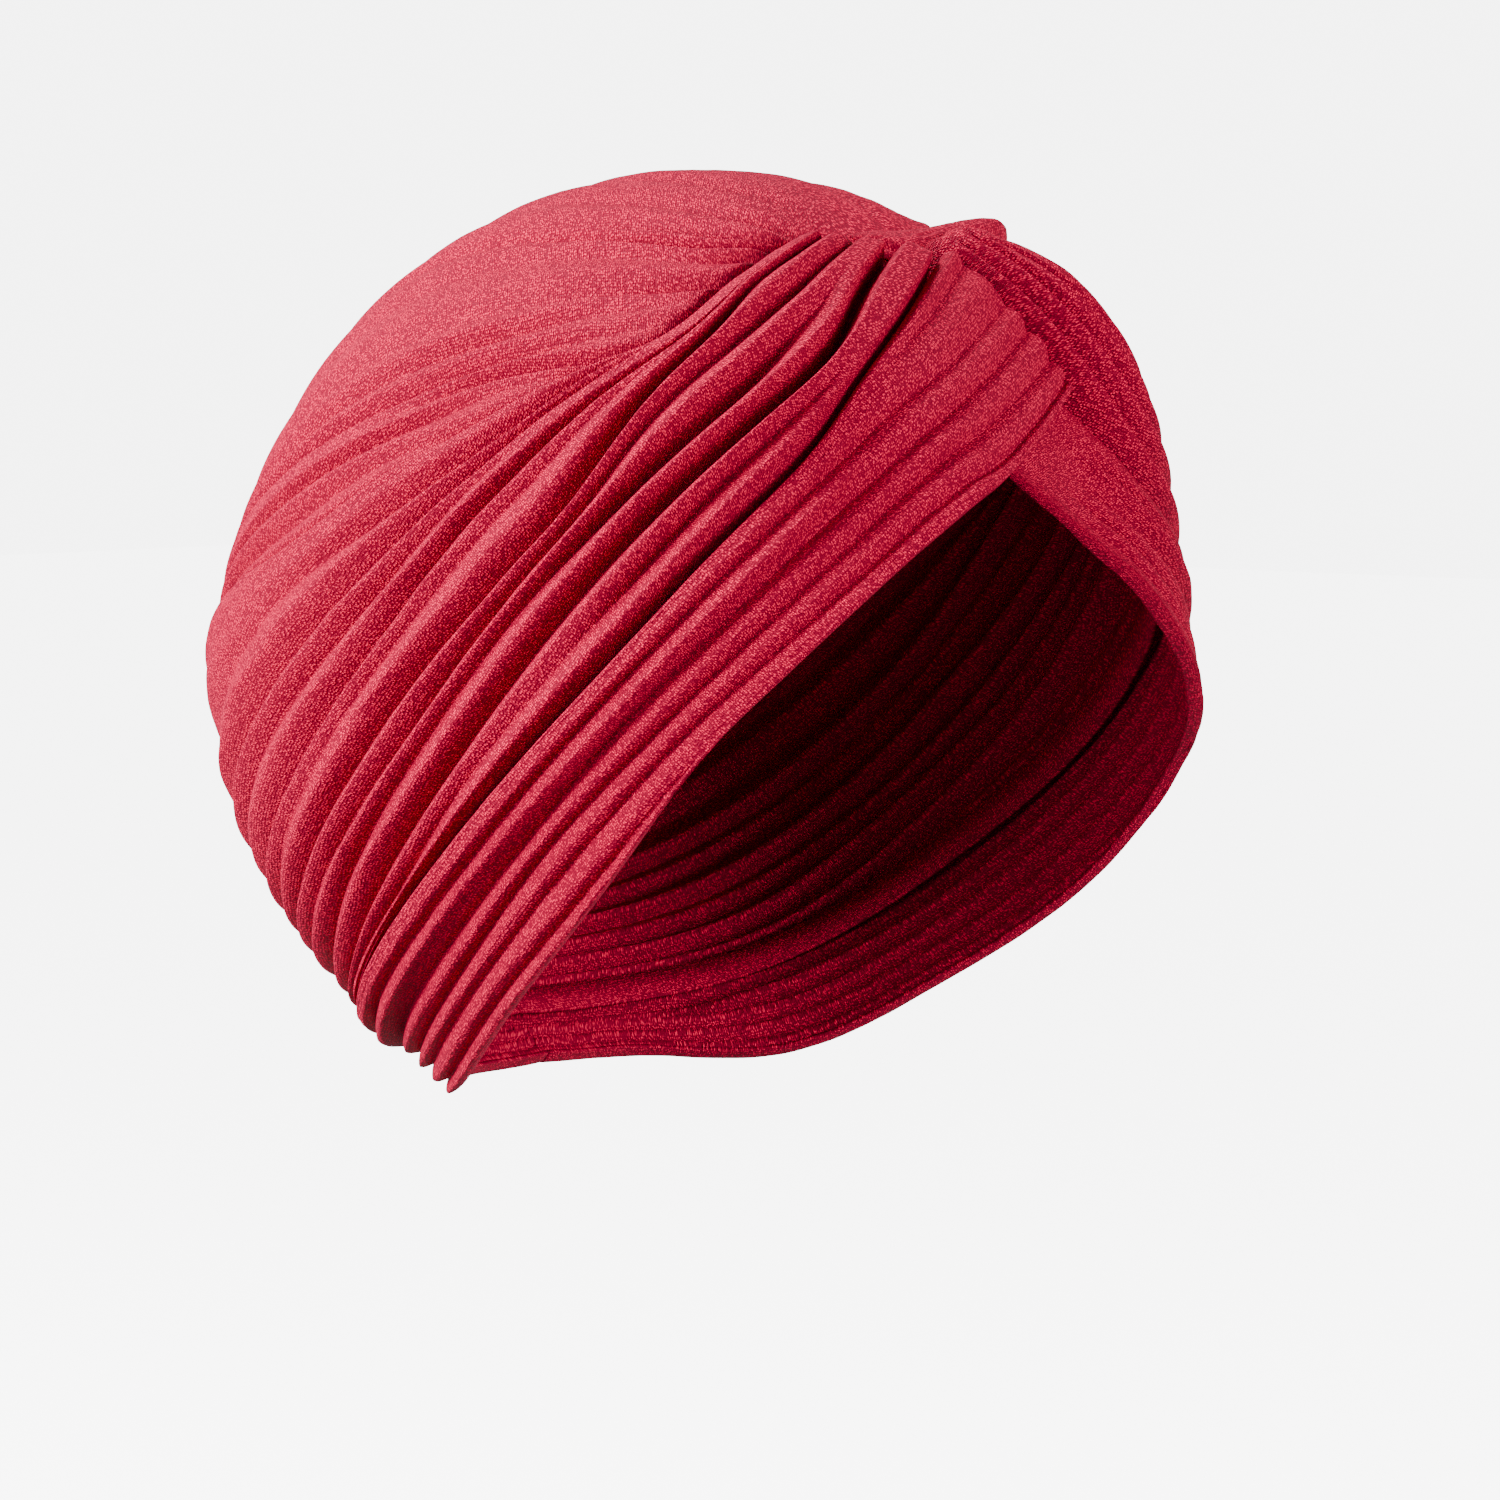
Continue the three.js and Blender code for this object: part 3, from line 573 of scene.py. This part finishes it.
@dataclass(frozen=True)
class RedJersey:
    """Red crepe jersey with a soft sheen. The colours are linear.

    The crepe is a field of small bumps, drawn out across the flow of the cloth, with a finer yarn
    noise over them. The base colour follows the same heights: the cloth's red on the bump tops, and a
    dark red of painted shade in the pits between them. The two fields that end in _at are the heights
    that take the two colours.
    """

    light: tuple[float, float, float] = (0.92, 0.002, 0.066)
    # The dark colour is painted shade, put into the pits between the crepe bumps.
    pit_shade: tuple[float, float, float] = (0.16, 0.0, 0.014)
    pit_shade_at: float = 0.22
    light_at: float = 0.62
    bumps_along_per_mm: float = 2.3
    bumps_across_per_mm: float = 1.6
    unevenness: float = 0.55
    yarn_scale: float = 1.9
    yarn_share: float = 0.45
    bump: float = 0.0004
    roughness: float = 0.55
    specular: float = 0.12
    specular_tint: tuple[float, float, float] = (1.0, 0.15, 0.25)
    sheen: float = 0.03
    sheen_tint: tuple[float, float, float] = (1.0, 0.05, 0.14)

    def material(self, name: str) -> bpy.types.Material:
        """Material on the piece's own UV map, which is in metres of cloth.

        Args:
            name: name of the material.

        Returns:
            The material.
        """
        made = bpy.data.materials.new(name)
        made.use_nodes = True
        nodes = made.node_tree.nodes
        links = made.node_tree.links
        shader = nodes["Principled BSDF"]
        shader.inputs["Roughness"].default_value = self.roughness
        shader.inputs["Specular IOR Level"].default_value = self.specular
        shader.inputs["Specular Tint"].default_value = (*self.specular_tint, 1.0)
        shader.inputs["Sheen Weight"].default_value = self.sheen
        shader.inputs["Sheen Roughness"].default_value = 0.4
        shader.inputs["Sheen Tint"].default_value = (*self.sheen_tint, 1.0)
        place = nodes.new("ShaderNodeUVMap")
        place.uv_map = "cloth"
        scale = nodes.new("ShaderNodeMapping")
        scale.inputs["Scale"].default_value = (
            self.bumps_along_per_mm / MM,
            self.bumps_across_per_mm / MM,
            1.0 / MM,
        )
        links.new(place.outputs["UV"], scale.inputs["Vector"])
        bumps = nodes.new("ShaderNodeTexVoronoi")
        bumps.feature = "F1"
        bumps.inputs["Scale"].default_value = 1.0
        bumps.inputs["Randomness"].default_value = self.unevenness
        links.new(scale.outputs["Vector"], bumps.inputs["Vector"])
        yarn = nodes.new("ShaderNodeTexNoise")
        yarn.inputs["Scale"].default_value = self.yarn_scale
        yarn.inputs["Detail"].default_value = 1.0
        links.new(scale.outputs["Vector"], yarn.inputs["Vector"])
        weaker = nodes.new("ShaderNodeMath")
        weaker.operation = "MULTIPLY_ADD"
        weaker.inputs[1].default_value = self.yarn_share
        weaker.inputs[2].default_value = 0.5
        links.new(yarn.outputs["Fac"], weaker.inputs[0])
        crepe_height = nodes.new("ShaderNodeMath")
        crepe_height.operation = "MULTIPLY_ADD"
        crepe_height.inputs[1].default_value = -1.0
        links.new(bumps.outputs["Distance"], crepe_height.inputs[0])
        links.new(weaker.outputs["Value"], crepe_height.inputs[2])
        # Base colour by crepe height: the cloth's red on the bump tops, painted shade in the pits
        # between them.
        ramp = nodes.new("ShaderNodeValToRGB")
        ramp.color_ramp.elements[0].position = self.pit_shade_at
        ramp.color_ramp.elements[0].color = (*self.pit_shade, 1.0)
        ramp.color_ramp.elements[1].position = self.light_at
        ramp.color_ramp.elements[1].color = (*self.light, 1.0)
        links.new(crepe_height.outputs["Value"], ramp.inputs["Fac"])
        links.new(ramp.outputs["Color"], shader.inputs["Base Color"])
        bump = nodes.new("ShaderNodeBump")
        bump.inputs["Distance"].default_value = self.bump
        bump.inputs["Strength"].default_value = 1.0
        links.new(crepe_height.outputs["Value"], bump.inputs["Height"])
        links.new(bump.outputs["Normal"], shader.inputs["Normal"])
        return made


@dataclass
class ClothPiece:
    """Sheet of cloth that keeps its worn form."""

    name: str
    slot: str
    finish: bpy.types.Material
    head: HeadForm = field(default_factory=HeadForm)
    thickness: float = 0.8

    def surface(self, along: np.ndarray, across: np.ndarray) -> np.ndarray:
        """Outer face of the cloth.

        Args:
            along: places along the flow, one for each row.
            across: places across it, one for each column.

        Returns:
            Points in mm, with a row for each along and a column for each across.
        """
        raise NotImplementedError

    def sheet(self, along: np.ndarray, across: np.ndarray) -> bpy.types.Object:
        """Sheet over a grid of places, with a wall as thick as the cloth.

        Args:
            along: places along the flow.
            across: places across it.

        Returns:
            The finished piece.
        """
        points = self.surface(along, across)
        steps_along = np.linalg.norm(np.diff(points, axis=0), axis=2).mean(axis=1)
        steps_across = np.linalg.norm(np.diff(points, axis=1), axis=2)
        u = np.concatenate([[0.0], np.cumsum(steps_along)])
        v = np.concatenate([np.zeros((len(along), 1)), np.cumsum(steps_across, axis=1)], axis=1)
        v = v - v[:, v.shape[1] // 2][:, None]
        mesh = bpy.data.meshes.new(self.name)
        shape = bmesh.new()
        columns, rows = len(along) - 1, len(across) - 1
        bmesh.ops.create_grid(shape, x_segments=columns, y_segments=rows, size=0.5)
        shape.verts.ensure_lookup_table()
        flat = np.array([vert.co[:2] for vert in shape.verts])
        i = np.rint((flat[:, 0] + 0.5) * columns).astype(int)
        j = np.rint((flat[:, 1] + 0.5) * rows).astype(int)
        for vert, place in zip(shape.verts, points[i, j] * MM):
            vert.co = place
        shape.to_mesh(mesh)
        shape.free()
        corners = np.empty(len(mesh.loops), dtype=int)
        mesh.loops.foreach_get("vertex_index", corners)
        cloth = np.stack([u[i][corners], v[i, j][corners]], axis=1) * MM
        layer = mesh.uv_layers.new(name="cloth")
        layer.data.foreach_set("uv", cloth.ravel())
        piece = bpy.data.objects.new(self.name, mesh)
        bpy.context.scene.collection.objects.link(piece)
        self.face_outwards(mesh)
        mesh.shade_smooth()
        mesh.materials.append(self.finish)
        wall = piece.modifiers.new("wall", "SOLIDIFY")
        wall.thickness = self.thickness * MM
        wall.offset = -1.0
        return piece

    @staticmethod
    def face_outwards(mesh: bpy.types.Mesh) -> None:
        """Turn the faces round where they point at the middle of the head."""
        middle = Vector((0.0, 0.0, -HEAD_TOP * MM))
        out = sum(face.normal.dot(face.center - middle) * face.area for face in mesh.polygons)
        if out < 0.0:
            mesh.flip_normals()

    def dress(self, piece: bpy.types.Object, flat: tuple[float, float], held: str) -> None:
        """Hang the piece on the frame's root and log its faces.

        Args:
            piece: the finished piece.
            flat: width and length of the cloth when laid flat, in metres. Not used.
            held: how the cloth is held. Not used.
        """
        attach(piece, "root")
        log.info("%s: %d faces before its wall", piece.name, len(piece.data.polygons))


def even(start: float, end: float, steps: int) -> np.ndarray:
    """Evenly spaced places."""
    return np.linspace(start, end, steps + 1)


def gathered(start: float, end: float, steps: int, pull: float) -> np.ndarray:
    """Places that lie closer together at the start.

    Args:
        start: first place.
        end: last place.
        steps: number of steps.
        pull: 1 for even steps, more for closer ones at the start.

    Returns:
        The places.
    """
    return start + (end - start) * np.linspace(0.0, 1.0, steps + 1) ** pull


@dataclass
class PleatedDrape(ClothPiece):
    """Fan of pleats on one side, from the twist at the front to the centre back. Sizes in mm.

    The strand is the full fold beside the brow band. It begins at strand_from across, and it fades
    after strand_until along. wrinkled_at is the width of the fan where the wrinkles are full.
    """

    side: SideLines = RIGHT
    base: float = 1.2
    margin: float = 8.0
    margin_from: float = 0.16
    seam: float = 0.1
    front_roll: float = 0.035
    front_tuck: float = 0.0
    front_hidden: float = 0.03
    fullness: float = 0.8
    strand_lift: float = 0.0
    strand_from: float = 0.62
    strand_over: float = 0.12
    strand_until: float = 0.15
    strand_fades: float = 0.3
    crinkle_height: float = 0.35
    fine_height: float = 0.08
    wrinkled_at: float = 90.0
    calm_valley: float = 0.7
    pleats: Pleats = Pleats(DRAPE_VALLEYS, 1.6)
    steps_along: int = 170
    steps_per_lane: int = 22

    def surface(self, along: np.ndarray, across: np.ndarray) -> np.ndarray:
        """Outer face of the pleats. across counts lanes, and one more for the tucked margin."""
        lanes = self.pleats.lanes
        top = self.side.line("crease").at(along)[:, None, :]
        low = self.side.line("band").at(along)[:, None, :]
        angle = angle_between(top, low)
        station = np.maximum(along, 0.0) * self.side.last
        share, cut = self.pleats.section(station, np.minimum(across, lanes), 0.0, 1.0)
        beyond = clamp01(across - lanes)[None, :] * self.margin / HEAD_TOP / angle
        reach = share + beyond * ease01(along / self.margin_from)[:, None]
        swell = np.sin(math.pi * clamp01(share)) ** self.fullness
        rise = self.side.amount("rise", along)[:, None]
        crest = rise + swell * self.side.amount("lift", along)[:, None]
        fades = 1.0 - ease01((along - self.strand_until) / self.strand_fades)
        strand = ease01((share - self.strand_from) / self.strand_over) * fades[:, None]
        crest = crest + self.strand_lift * strand
        crinkle = Crinkle(7 if self.side is RIGHT else 17, 16, 34)
        fine = Crinkle(8 if self.side is RIGHT else 18, 40, 80)
        wrinkles = self.crinkle_height * crinkle.at(along, share)
        wrinkles = wrinkles + self.fine_height * fine.at(along, share)
        wrinkles = wrinkles * clamp01(angle * HEAD_TOP / self.wrinkled_at)
        full = (crest - self.base) * (1.0 - cut) + wrinkles * (1.0 - self.calm_valley * cut)
        full = full * rolled(along + self.hidden, self.front_roll)[:, None]
        run = smooth_through(EDGE_STATIONS, EDGE_RUNS, station)[:, None]
        low_share = clamp01(smooth_through(EDGE_STATIONS, EDGE_SHARES, station))[:, None]
        full = full * mix(low_share, 1.0, rolled(share * angle * HEAD_TOP, run))
        tucked = clamp01(across - lanes)[None, :]
        height = self.base + np.maximum(full, 0.0) * (1.0 - tucked)
        unit = between(top, low, reach)
        under = clamp01(-along / max(self.hidden, 1e-6))[:, None] * self.front_tuck / HEAD_TOP
        up = np.broadcast_to(direction(0.0, 90.0), unit.shape)
        points = self.head.point(between(unit, up, under / angle_between(unit, up)), height)
        return own_side(points, self.side.hand, self.seam)

    @property
    def hidden(self) -> float:
        """Share of the flow that goes on under the twist."""
        return self.front_hidden if self.front_tuck > 0.0 else 0.0

    def build(self) -> bpy.types.Object:
        """Build and dress the drape."""
        lanes = self.pleats.lanes
        across = np.concatenate([even(0.0, lanes, lanes * self.steps_per_lane), [lanes + 1.0]])
        along = gathered(0.0, 1.0, self.steps_along, 1.15)
        if self.hidden > 0.0:
            along = np.concatenate([even(-self.hidden, 0.0, 8)[:-1], along])
        piece = self.sheet(along, across)
        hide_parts(self.name.replace("_cloth", ""))
        self.dress(piece, (0.12, 0.25), "gathered")
        return piece


@dataclass(frozen=True)
class BandLay:
    """How a band lies, by the share of the flow. Heights in mm.

    start is where its top corner begins and layer the layer that it lies in at the front. It comes
    down from there between lowers_from and lowers_from + lowers_over, and its ribs fill out between
    ribs_from and ribs_from + ribs_over.
    """

    start: float
    layer: float
    lowers_from: float
    lowers_over: float
    ribs_front: float
    ribs_from: float
    ribs_over: float


@dataclass
class BrowBand(ClothPiece):
    """Ribbed band along the brow on one side, from the front to the centre back. Sizes in mm.

    Its upper edge lies on the drape's margin. It comes down from that past lap_from laps, and
    top_cut and low_cut are how far its ribs are down at its two edges.
    """

    side: SideLines = RIGHT
    lay: BandLay = BandLay(0.0, THIRD_LAYER, 0.17, 0.13, 0.8, 0.05, 0.15)
    length: float = 260.0
    gap: float = 0.4
    rib_rise: float = 3.3
    top_cut: float = 0.6
    low_cut: float = 0.5
    lap: float = 8.0
    lap_from: float = 1.1
    lap_fall: float = 3.0
    hem: float = 1.3
    edge_drop: float = 1.6
    seam: float = 0.1
    fine_height: float = 0.14
    ribs: Pleats = Pleats(BAND_VALLEYS, 1.7)
    steps_along: int = 240
    steps_per_lane: int = 16

    def surface(self, along: np.ndarray, across: np.ndarray) -> np.ndarray:
        """Outer face of the ribs. along is 0 to 1 for every lane, and across counts lanes."""
        lanes = self.ribs.lanes
        start = self.lay.start * (1.0 - across / lanes)
        s = start[None, :] + (1.0 - start[None, :]) * along[:, None]
        top = self.side.line("band").at(s)
        low = self.side.line("edge").at(s)
        share = np.empty_like(s)
        cut = np.empty_like(s)
        for column, lane in enumerate(across):
            station = s[:, column] * self.side.last
            one = self.ribs.section(station, np.array([lane]), self.top_cut, self.low_cut)
            share[:, column] = one[0][:, 0]
            cut[:, column] = one[1][:, 0]
        full = angle_between(top, low) * HEAD_TOP
        reach = self.gap + share * (full - self.gap)
        over = 1.0 - ease01((reach / self.lap - self.lap_from) * self.lap_fall)
        lowered = ease01((s - self.lay.lowers_from) / self.lay.lowers_over)
        floor = np.maximum(
            mix(FIRST_LAYER, SECOND_LAYER, over), mix(self.lay.layer, FIRST_LAYER, lowered)
        )
        fullness = mix(self.lay.ribs_front, 1.0, ease01((s - self.lay.ribs_from) / self.lay.ribs_over))
        flow = clamp01(across / lanes)
        fine = Crinkle(9 if self.side is RIGHT else 19, 60, lanes * 7)
        height = floor + self.rib_rise * fullness * (1.0 - cut)
        height = height + self.fine_height * fine.at(along, flow)
        end = along[:, None] * self.length
        edge = np.minimum(np.minimum(full - reach, reach - self.gap), end)
        height = height - self.edge_drop * (1.0 - rolled(edge, self.hem))
        points = self.head.point(between(top, low, reach / full), height)
        return own_side(points, self.side.hand, self.seam)

    def build(self) -> bpy.types.Object:
        """Build and dress the band."""
        lanes = self.ribs.lanes
        inner = even(0.04, lanes - 0.04, lanes * self.steps_per_lane)
        across = np.concatenate([[0.0, 0.01, 0.02], inner, [lanes - 0.02, lanes - 0.01, lanes]])
        along = np.concatenate([[0.0, 0.001, 0.002, 0.0035], even(0.005, 1.0, self.steps_along)])
        piece = self.sheet(along, across)
        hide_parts(self.name.replace("_cloth", ""))
        self.dress(piece, (0.045, 0.26), "stretched")
        return piece


def mirrored(valleys: tuple[Valley, ...], spread: float) -> tuple[Valley, ...]:
    """The same valleys from the other border.

    Args:
        valleys: valleys in the first half of the way across.
        spread: how much wider they lie on the other half.

    Returns:
        The valleys in the second half, in order.
    """
    return tuple(
        Valley(tuple(1.0 - spread * place for place in valley.at), valley.deep)
        for valley in reversed(valleys)
    )


@dataclass
class Crown(ClothPiece):
    """Smooth cap over the top of the head, tucked under the pleats all round. Sizes in mm.

    Along the flow the cloth swells from swells_from and is down again at sinks_to. Its borders turn
    from a slope to a roll past rolls_from, and tuck downwards instead of sideways past dips_from.
    """

    tuck: float = 3.0
    low: float = 1.0
    rise: float = 3.8
    crinkle_height: float = 0.25
    fine_height: float = 0.06
    lap: float = 0.04
    end: float = 0.985
    front_slope: float = 6.0
    roll: float = 4.5
    swells_from: float = 0.03
    swells_over: float = 0.2
    sinks_to: float = 0.95
    sinks_over: float = 0.14
    rolls_from: float = 0.22
    rolls_over: float = 0.12
    dips_from: float = 0.6
    dips_over: float = 0.2
    calm_valley: float = 0.8
    pleats: Pleats = Pleats(CROWN_VALLEYS + mirrored(CROWN_VALLEYS, 1.06), 1.35, 0.032)
    steps_along: int = 136
    steps_per_lane: int = 15

    def border(self, side: SideLines, s: np.ndarray) -> np.ndarray:
        """Border on one side, a tuck's width under the pleats.

        Args:
            side: the side's guide lines.
            s: shares of the flow.

        Returns:
            Directions of the border.
        """
        crease = side.line("crease").at(s)
        middle = CROWN_LINE.at(s)
        band = side.line("band").at(s)
        tuck = self.tuck / HEAD_TOP
        sideways = between(crease, middle, -tuck / angle_between(crease, middle))
        downwards = between(crease, band, tuck / angle_between(crease, band))
        return between(sideways, downwards, ease01((s - self.dips_from) / self.dips_over))

    def surface(self, along: np.ndarray, across: np.ndarray) -> np.ndarray:
        """Outer face of the cap. across counts lanes from the right border to the left one."""
        place, cut = self.pleats.section(np.clip(along, 0.0, 1.0) * RIGHT.last, across, 0.0, 0.0)
        middle = CROWN_LINE.at(along)[:, None, :]
        right = self.border(RIGHT, along)[:, None, :]
        left = self.border(LEFT, along)[:, None, :]
        border = np.where((place < 0.5)[..., None], right, left)
        share = 1.0 - np.abs(2.0 * place - 1.0)
        inside = share * angle_between(border, middle) * HEAD_TOP - self.tuck
        swells = ease01((along - self.swells_from) / self.swells_over)
        ends = swells * ease01((self.sinks_to - along) / self.sinks_over)
        gentle = ease01(inside / self.front_slope)
        later = ease01((along - self.rolls_from) / self.rolls_over)[:, None]
        swell = ends[:, None] * mix(gentle, rolled(np.maximum(inside, 0.0), self.roll), later)
        crinkle = Crinkle(21, 9, 56).at(along, place)
        fine = Crinkle(22, 46, 150).at(along, place)
        wrinkles = self.crinkle_height * crinkle + self.fine_height * fine
        folds = self.rise * (1.0 - cut) + wrinkles * (1.0 - self.calm_valley * cut)
        height = self.low + folds * swell
        return self.head.point(between(border, middle, share), height)

    def build(self) -> bpy.types.Object:
        """Build and dress the crown."""
        lanes = self.pleats.lanes
        along = even(-self.lap, self.end, self.steps_along)
        piece = self.sheet(along, even(0.0, lanes, lanes * self.steps_per_lane))
        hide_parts("crown")
        self.dress(piece, (0.17, 0.25), "stretched")
        return piece


@dataclass(frozen=True)
class TwistSection:
    """One section of the twist, with its two feet in degrees.

    foot is the height of its front foot and rise how far it stands above its feet, in mm.
    """

    front: tuple[float, float]
    back: tuple[float, float]
    foot: float
    rise: float


TWIST_SECTIONS = (
    TwistSection((2, 61.2), (6, 66.5), 1.8, 0.6),
    TwistSection((-7, 60.2), (-3, 67.5), 1.7, 1.8),
    TwistSection((-15, 59.2), (-12, 67.5), 2.0, 3.4),
    TwistSection((-23, 58.4), (-23, 67), 3.4, 4.8),
    TwistSection((-32, 57.5), (-34, 66), 6.4, 5.8),
    TwistSection((-40, 56.4), (-44, 64), 9.0, 5.4),
    TwistSection((-46, 55.5), (-51, 62), 8.4, 3.0),
)


def twist_line(name: str) -> GuideLine:
    """Guide line through the twist's front or back feet."""
    feet = [getattr(section, name) for section in TWIST_SECTIONS]
    return GuideLine(tuple(azimuth for azimuth, _ in feet), tuple(elevation for _, elevation in feet))


def twist_amount(name: str, along: np.ndarray) -> np.ndarray:
    """Foot or rise in mm, with a row for each place along the twist."""
    values = [getattr(section, name) for section in TWIST_SECTIONS]
    return smooth_through(range(len(values)), values, along * (len(values) - 1))[:, None]


@dataclass
class FrontTwist(ClothPiece):
    """Turned fold at the front top that runs out of the crown. Sizes in mm.

    roll is the share of its width that its steep front takes, and end_roll the share of its length
    that its rounded end takes. The tuck is a short crease that cuts across its start at a slant.
    back_sink is how far the back edge goes down into the crown.
    """

    crown_level: float = 2.4
    roll: float = 0.26
    fine_height: float = 0.15
    tuck_deep: float = 2.2
    tuck_broad: float = 0.05
    tuck_at: float = 0.22
    tuck_slant: float = 0.3
    end_roll: float = 0.12
    back_sink: float = 0.9
    steps_along: int = 110
    steps_over: int = 90

    def surface(self, along: np.ndarray, across: np.ndarray) -> np.ndarray:
        """Outer face of the fold. across is 0 at its front foot and 1 where it runs into the crown."""
        near = twist_line("front").at(along)[:, None, :]
        far = twist_line("back").at(along)[:, None, :]
        v = across[None, :]
        steep = rolled(v, self.roll)
        gentle = 0.5 + 0.5 * np.cos(math.pi * clamp01((v - self.roll) / (1.0 - self.roll)))
        arch = np.where(v < self.roll, steep, gentle)
        off = along[:, None] - self.tuck_at + self.tuck_slant * v
        tuck = np.exp(-((off / self.tuck_broad) ** 2))
        tuck = self.tuck_deep * tuck * ease01(v / 0.1) * ease01((0.75 - v) / 0.3)
        fine = Crinkle(31, 14, 16).at(along, across)
        level = mix(twist_amount("foot", along), self.crown_level, ease01(v))
        height = level + twist_amount("rise", along) * arch + self.fine_height * fine - tuck
        end = rolled(1.0 - along, self.end_roll)[:, None]
        height = self.crown_level + (height - self.crown_level) * end
        height = height - self.back_sink * ease01((v - 0.8) / 0.2)
        return self.head.point(between(near, far, v), height)

    def build(self) -> bpy.types.Object:
        """Build and dress the twist."""
        piece = self.sheet(even(0.0, 1.0, self.steps_along), even(0.0, 1.0, self.steps_over))
        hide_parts("twist")
        self.dress(piece, (0.022, 0.05), "folded")
        return piece


@dataclass(frozen=True)
class SoftLight:
    """Soft rectangular light. Place and size in metres, power in watts."""

    name: str
    place: tuple[float, float, float]
    size: tuple[float, float]
    power: float


@dataclass
class Studio:
    """Pale floor, soft lights and the camera."""

    target: tuple[float, float, float] = (0.0, 0.0, -0.1)
    azimuth: float = -48.0
    elevation: float = 4.0
    distance: float = 1.5
    aside: float = 0.009
    above: float = -0.011
    lens: float = 180.0
    floor_height: float = -0.42
    floor_size: float = 6.0
    floor_glow: float = 6.0
    sky_glow: float = 0.42
    sky_seen: float = 6.0
    lights: tuple[SoftLight, ...] = (
        SoftLight("key", (-0.5, 0.83, 1.5), (0.5, 0.5), 82.0),
        SoftLight("side", (-1.6, 0.85, 0.15), (0.6, 0.6), 112.0),
        SoftLight("fill", (0.4, -2.0, 0.3), (1.0, 1.0), 84.0),
        SoftLight("low", (-1.8, -0.2, -0.1), (0.9, 0.9), 26.0),
    )

    def build(self) -> None:
        """Build the floor, the lights, the sky and the camera."""
        self.floor()
        for light in self.lights:
            self.light(light)
        self.sky()
        self.camera()

    def floor(self) -> None:
        """Plain pale floor below the wrap."""
        shape = bmesh.new()
        bmesh.ops.create_grid(shape, x_segments=1, y_segments=1, size=self.floor_size)
        bmesh.ops.translate(shape, verts=shape.verts, vec=(0.0, 0.0, self.floor_height))
        mesh = bpy.data.meshes.new("floor")
        shape.to_mesh(mesh)
        shape.free()
        floor = bpy.data.objects.new("floor", mesh)
        bpy.context.scene.collection.objects.link(floor)
        pale = bpy.data.materials.new("pale_floor")
        pale.use_nodes = True
        shader = pale.node_tree.nodes["Principled BSDF"]
        shader.inputs["Base Color"].default_value = (0.9, 0.9, 0.9, 1.0)
        shader.inputs["Roughness"].default_value = 0.9
        shader.inputs["Emission Color"].default_value = (1.0, 1.0, 1.0, 1.0)
        shader.inputs["Emission Strength"].default_value = self.floor_glow
        mesh.materials.append(pale)
        floor.visible_diffuse = False
        floor.visible_glossy = False

    def light(self, light: SoftLight) -> None:
        """Add one soft light that points at the wrap."""
        data = bpy.data.lights.new(light.name, "AREA")
        data.shape = "RECTANGLE"
        data.size, data.size_y = light.size
        data.energy = light.power
        lamp = bpy.data.objects.new(light.name, data)
        lamp.location = light.place
        aim = Vector(self.target) - Vector(light.place)
        lamp.rotation_mode = "QUATERNION"
        lamp.rotation_quaternion = aim.to_track_quat("-Z", "Y")
        bpy.context.scene.collection.objects.link(lamp)

    def sky(self) -> None:
        """White surroundings, brighter behind the wrap than in the light they give."""
        world = bpy.data.worlds.new("white")
        world.use_nodes = True
        nodes, links = world.node_tree.nodes, world.node_tree.links
        glow = nodes["Background"]
        glow.inputs["Strength"].default_value = self.sky_glow
        seen = nodes.new("ShaderNodeBackground")
        seen.inputs["Strength"].default_value = self.sky_seen
        for sky in (glow, seen):
            sky.inputs["Color"].default_value = (1.0, 1.0, 1.0, 1.0)
        path = nodes.new("ShaderNodeLightPath")
        both = nodes.new("ShaderNodeMixShader")
        links.new(path.outputs["Is Camera Ray"], both.inputs["Fac"])
        links.new(glow.outputs["Background"], both.inputs[1])
        links.new(seen.outputs["Background"], both.inputs[2])
        links.new(both.outputs["Shader"], nodes["World Output"].inputs["Surface"])
        bpy.context.scene.world = world

    def camera(self) -> None:
        """Camera at the viewing angle, with the wrap a little off its axis."""
        turn = math.radians(self.azimuth)
        climb = math.radians(self.elevation)
        back = Vector(
            (math.sin(turn) * math.cos(climb), -math.cos(turn) * math.cos(climb), math.sin(climb))
        )
        right = Vector((math.cos(turn), math.sin(turn), 0.0))
        up = back.cross(right)
        data = bpy.data.cameras.new("camera")
        data.lens = self.lens
        data.sensor_width = 36.0
        data.clip_start = 0.05
        data.clip_end = 50.0
        camera = bpy.data.objects.new("camera", data)
        shifted = right * self.aside + up * self.above
        camera.location = Vector(self.target) + back * self.distance + shifted
        camera.rotation_mode = "QUATERNION"
        camera.rotation_quaternion = (-back).to_track_quat("-Z", "Y")
        bpy.context.scene.collection.objects.link(camera)
        bpy.context.scene.camera = camera


def main() -> None:
    """Build the wrap and the studio."""
    jersey = RedJersey().material("red_jersey")
    left_lay = BandLay(0.17, SECOND_LAYER, 0.17, 0.07, 0.0, 0.17, 0.1)
    pieces = [
        Crown("crown_cloth", "crown_cloth", jersey),
        PleatedDrape("right_drape_cloth", "drape_cloth", jersey, side=RIGHT, strand_lift=1.8),
        PleatedDrape(
            "left_drape_cloth",
            "drape_cloth",
            jersey,
            side=LEFT,
            front_roll=0.02,
            front_tuck=3.5,
            strand_lift=1.2,
            pleats=Pleats(LEFT_DRAPE_VALLEYS, 1.6),
        ),
        BrowBand("left_band_cloth", "band_cloth", jersey, side=LEFT, lay=left_lay),
        BrowBand("right_band_cloth", "band_cloth", jersey, side=RIGHT),
        FrontTwist("twist_cloth", "crown_cloth", jersey),
    ]
    for piece in pieces:
        piece.build()
    Studio().build()


if __name__ == "__main__":
    main()
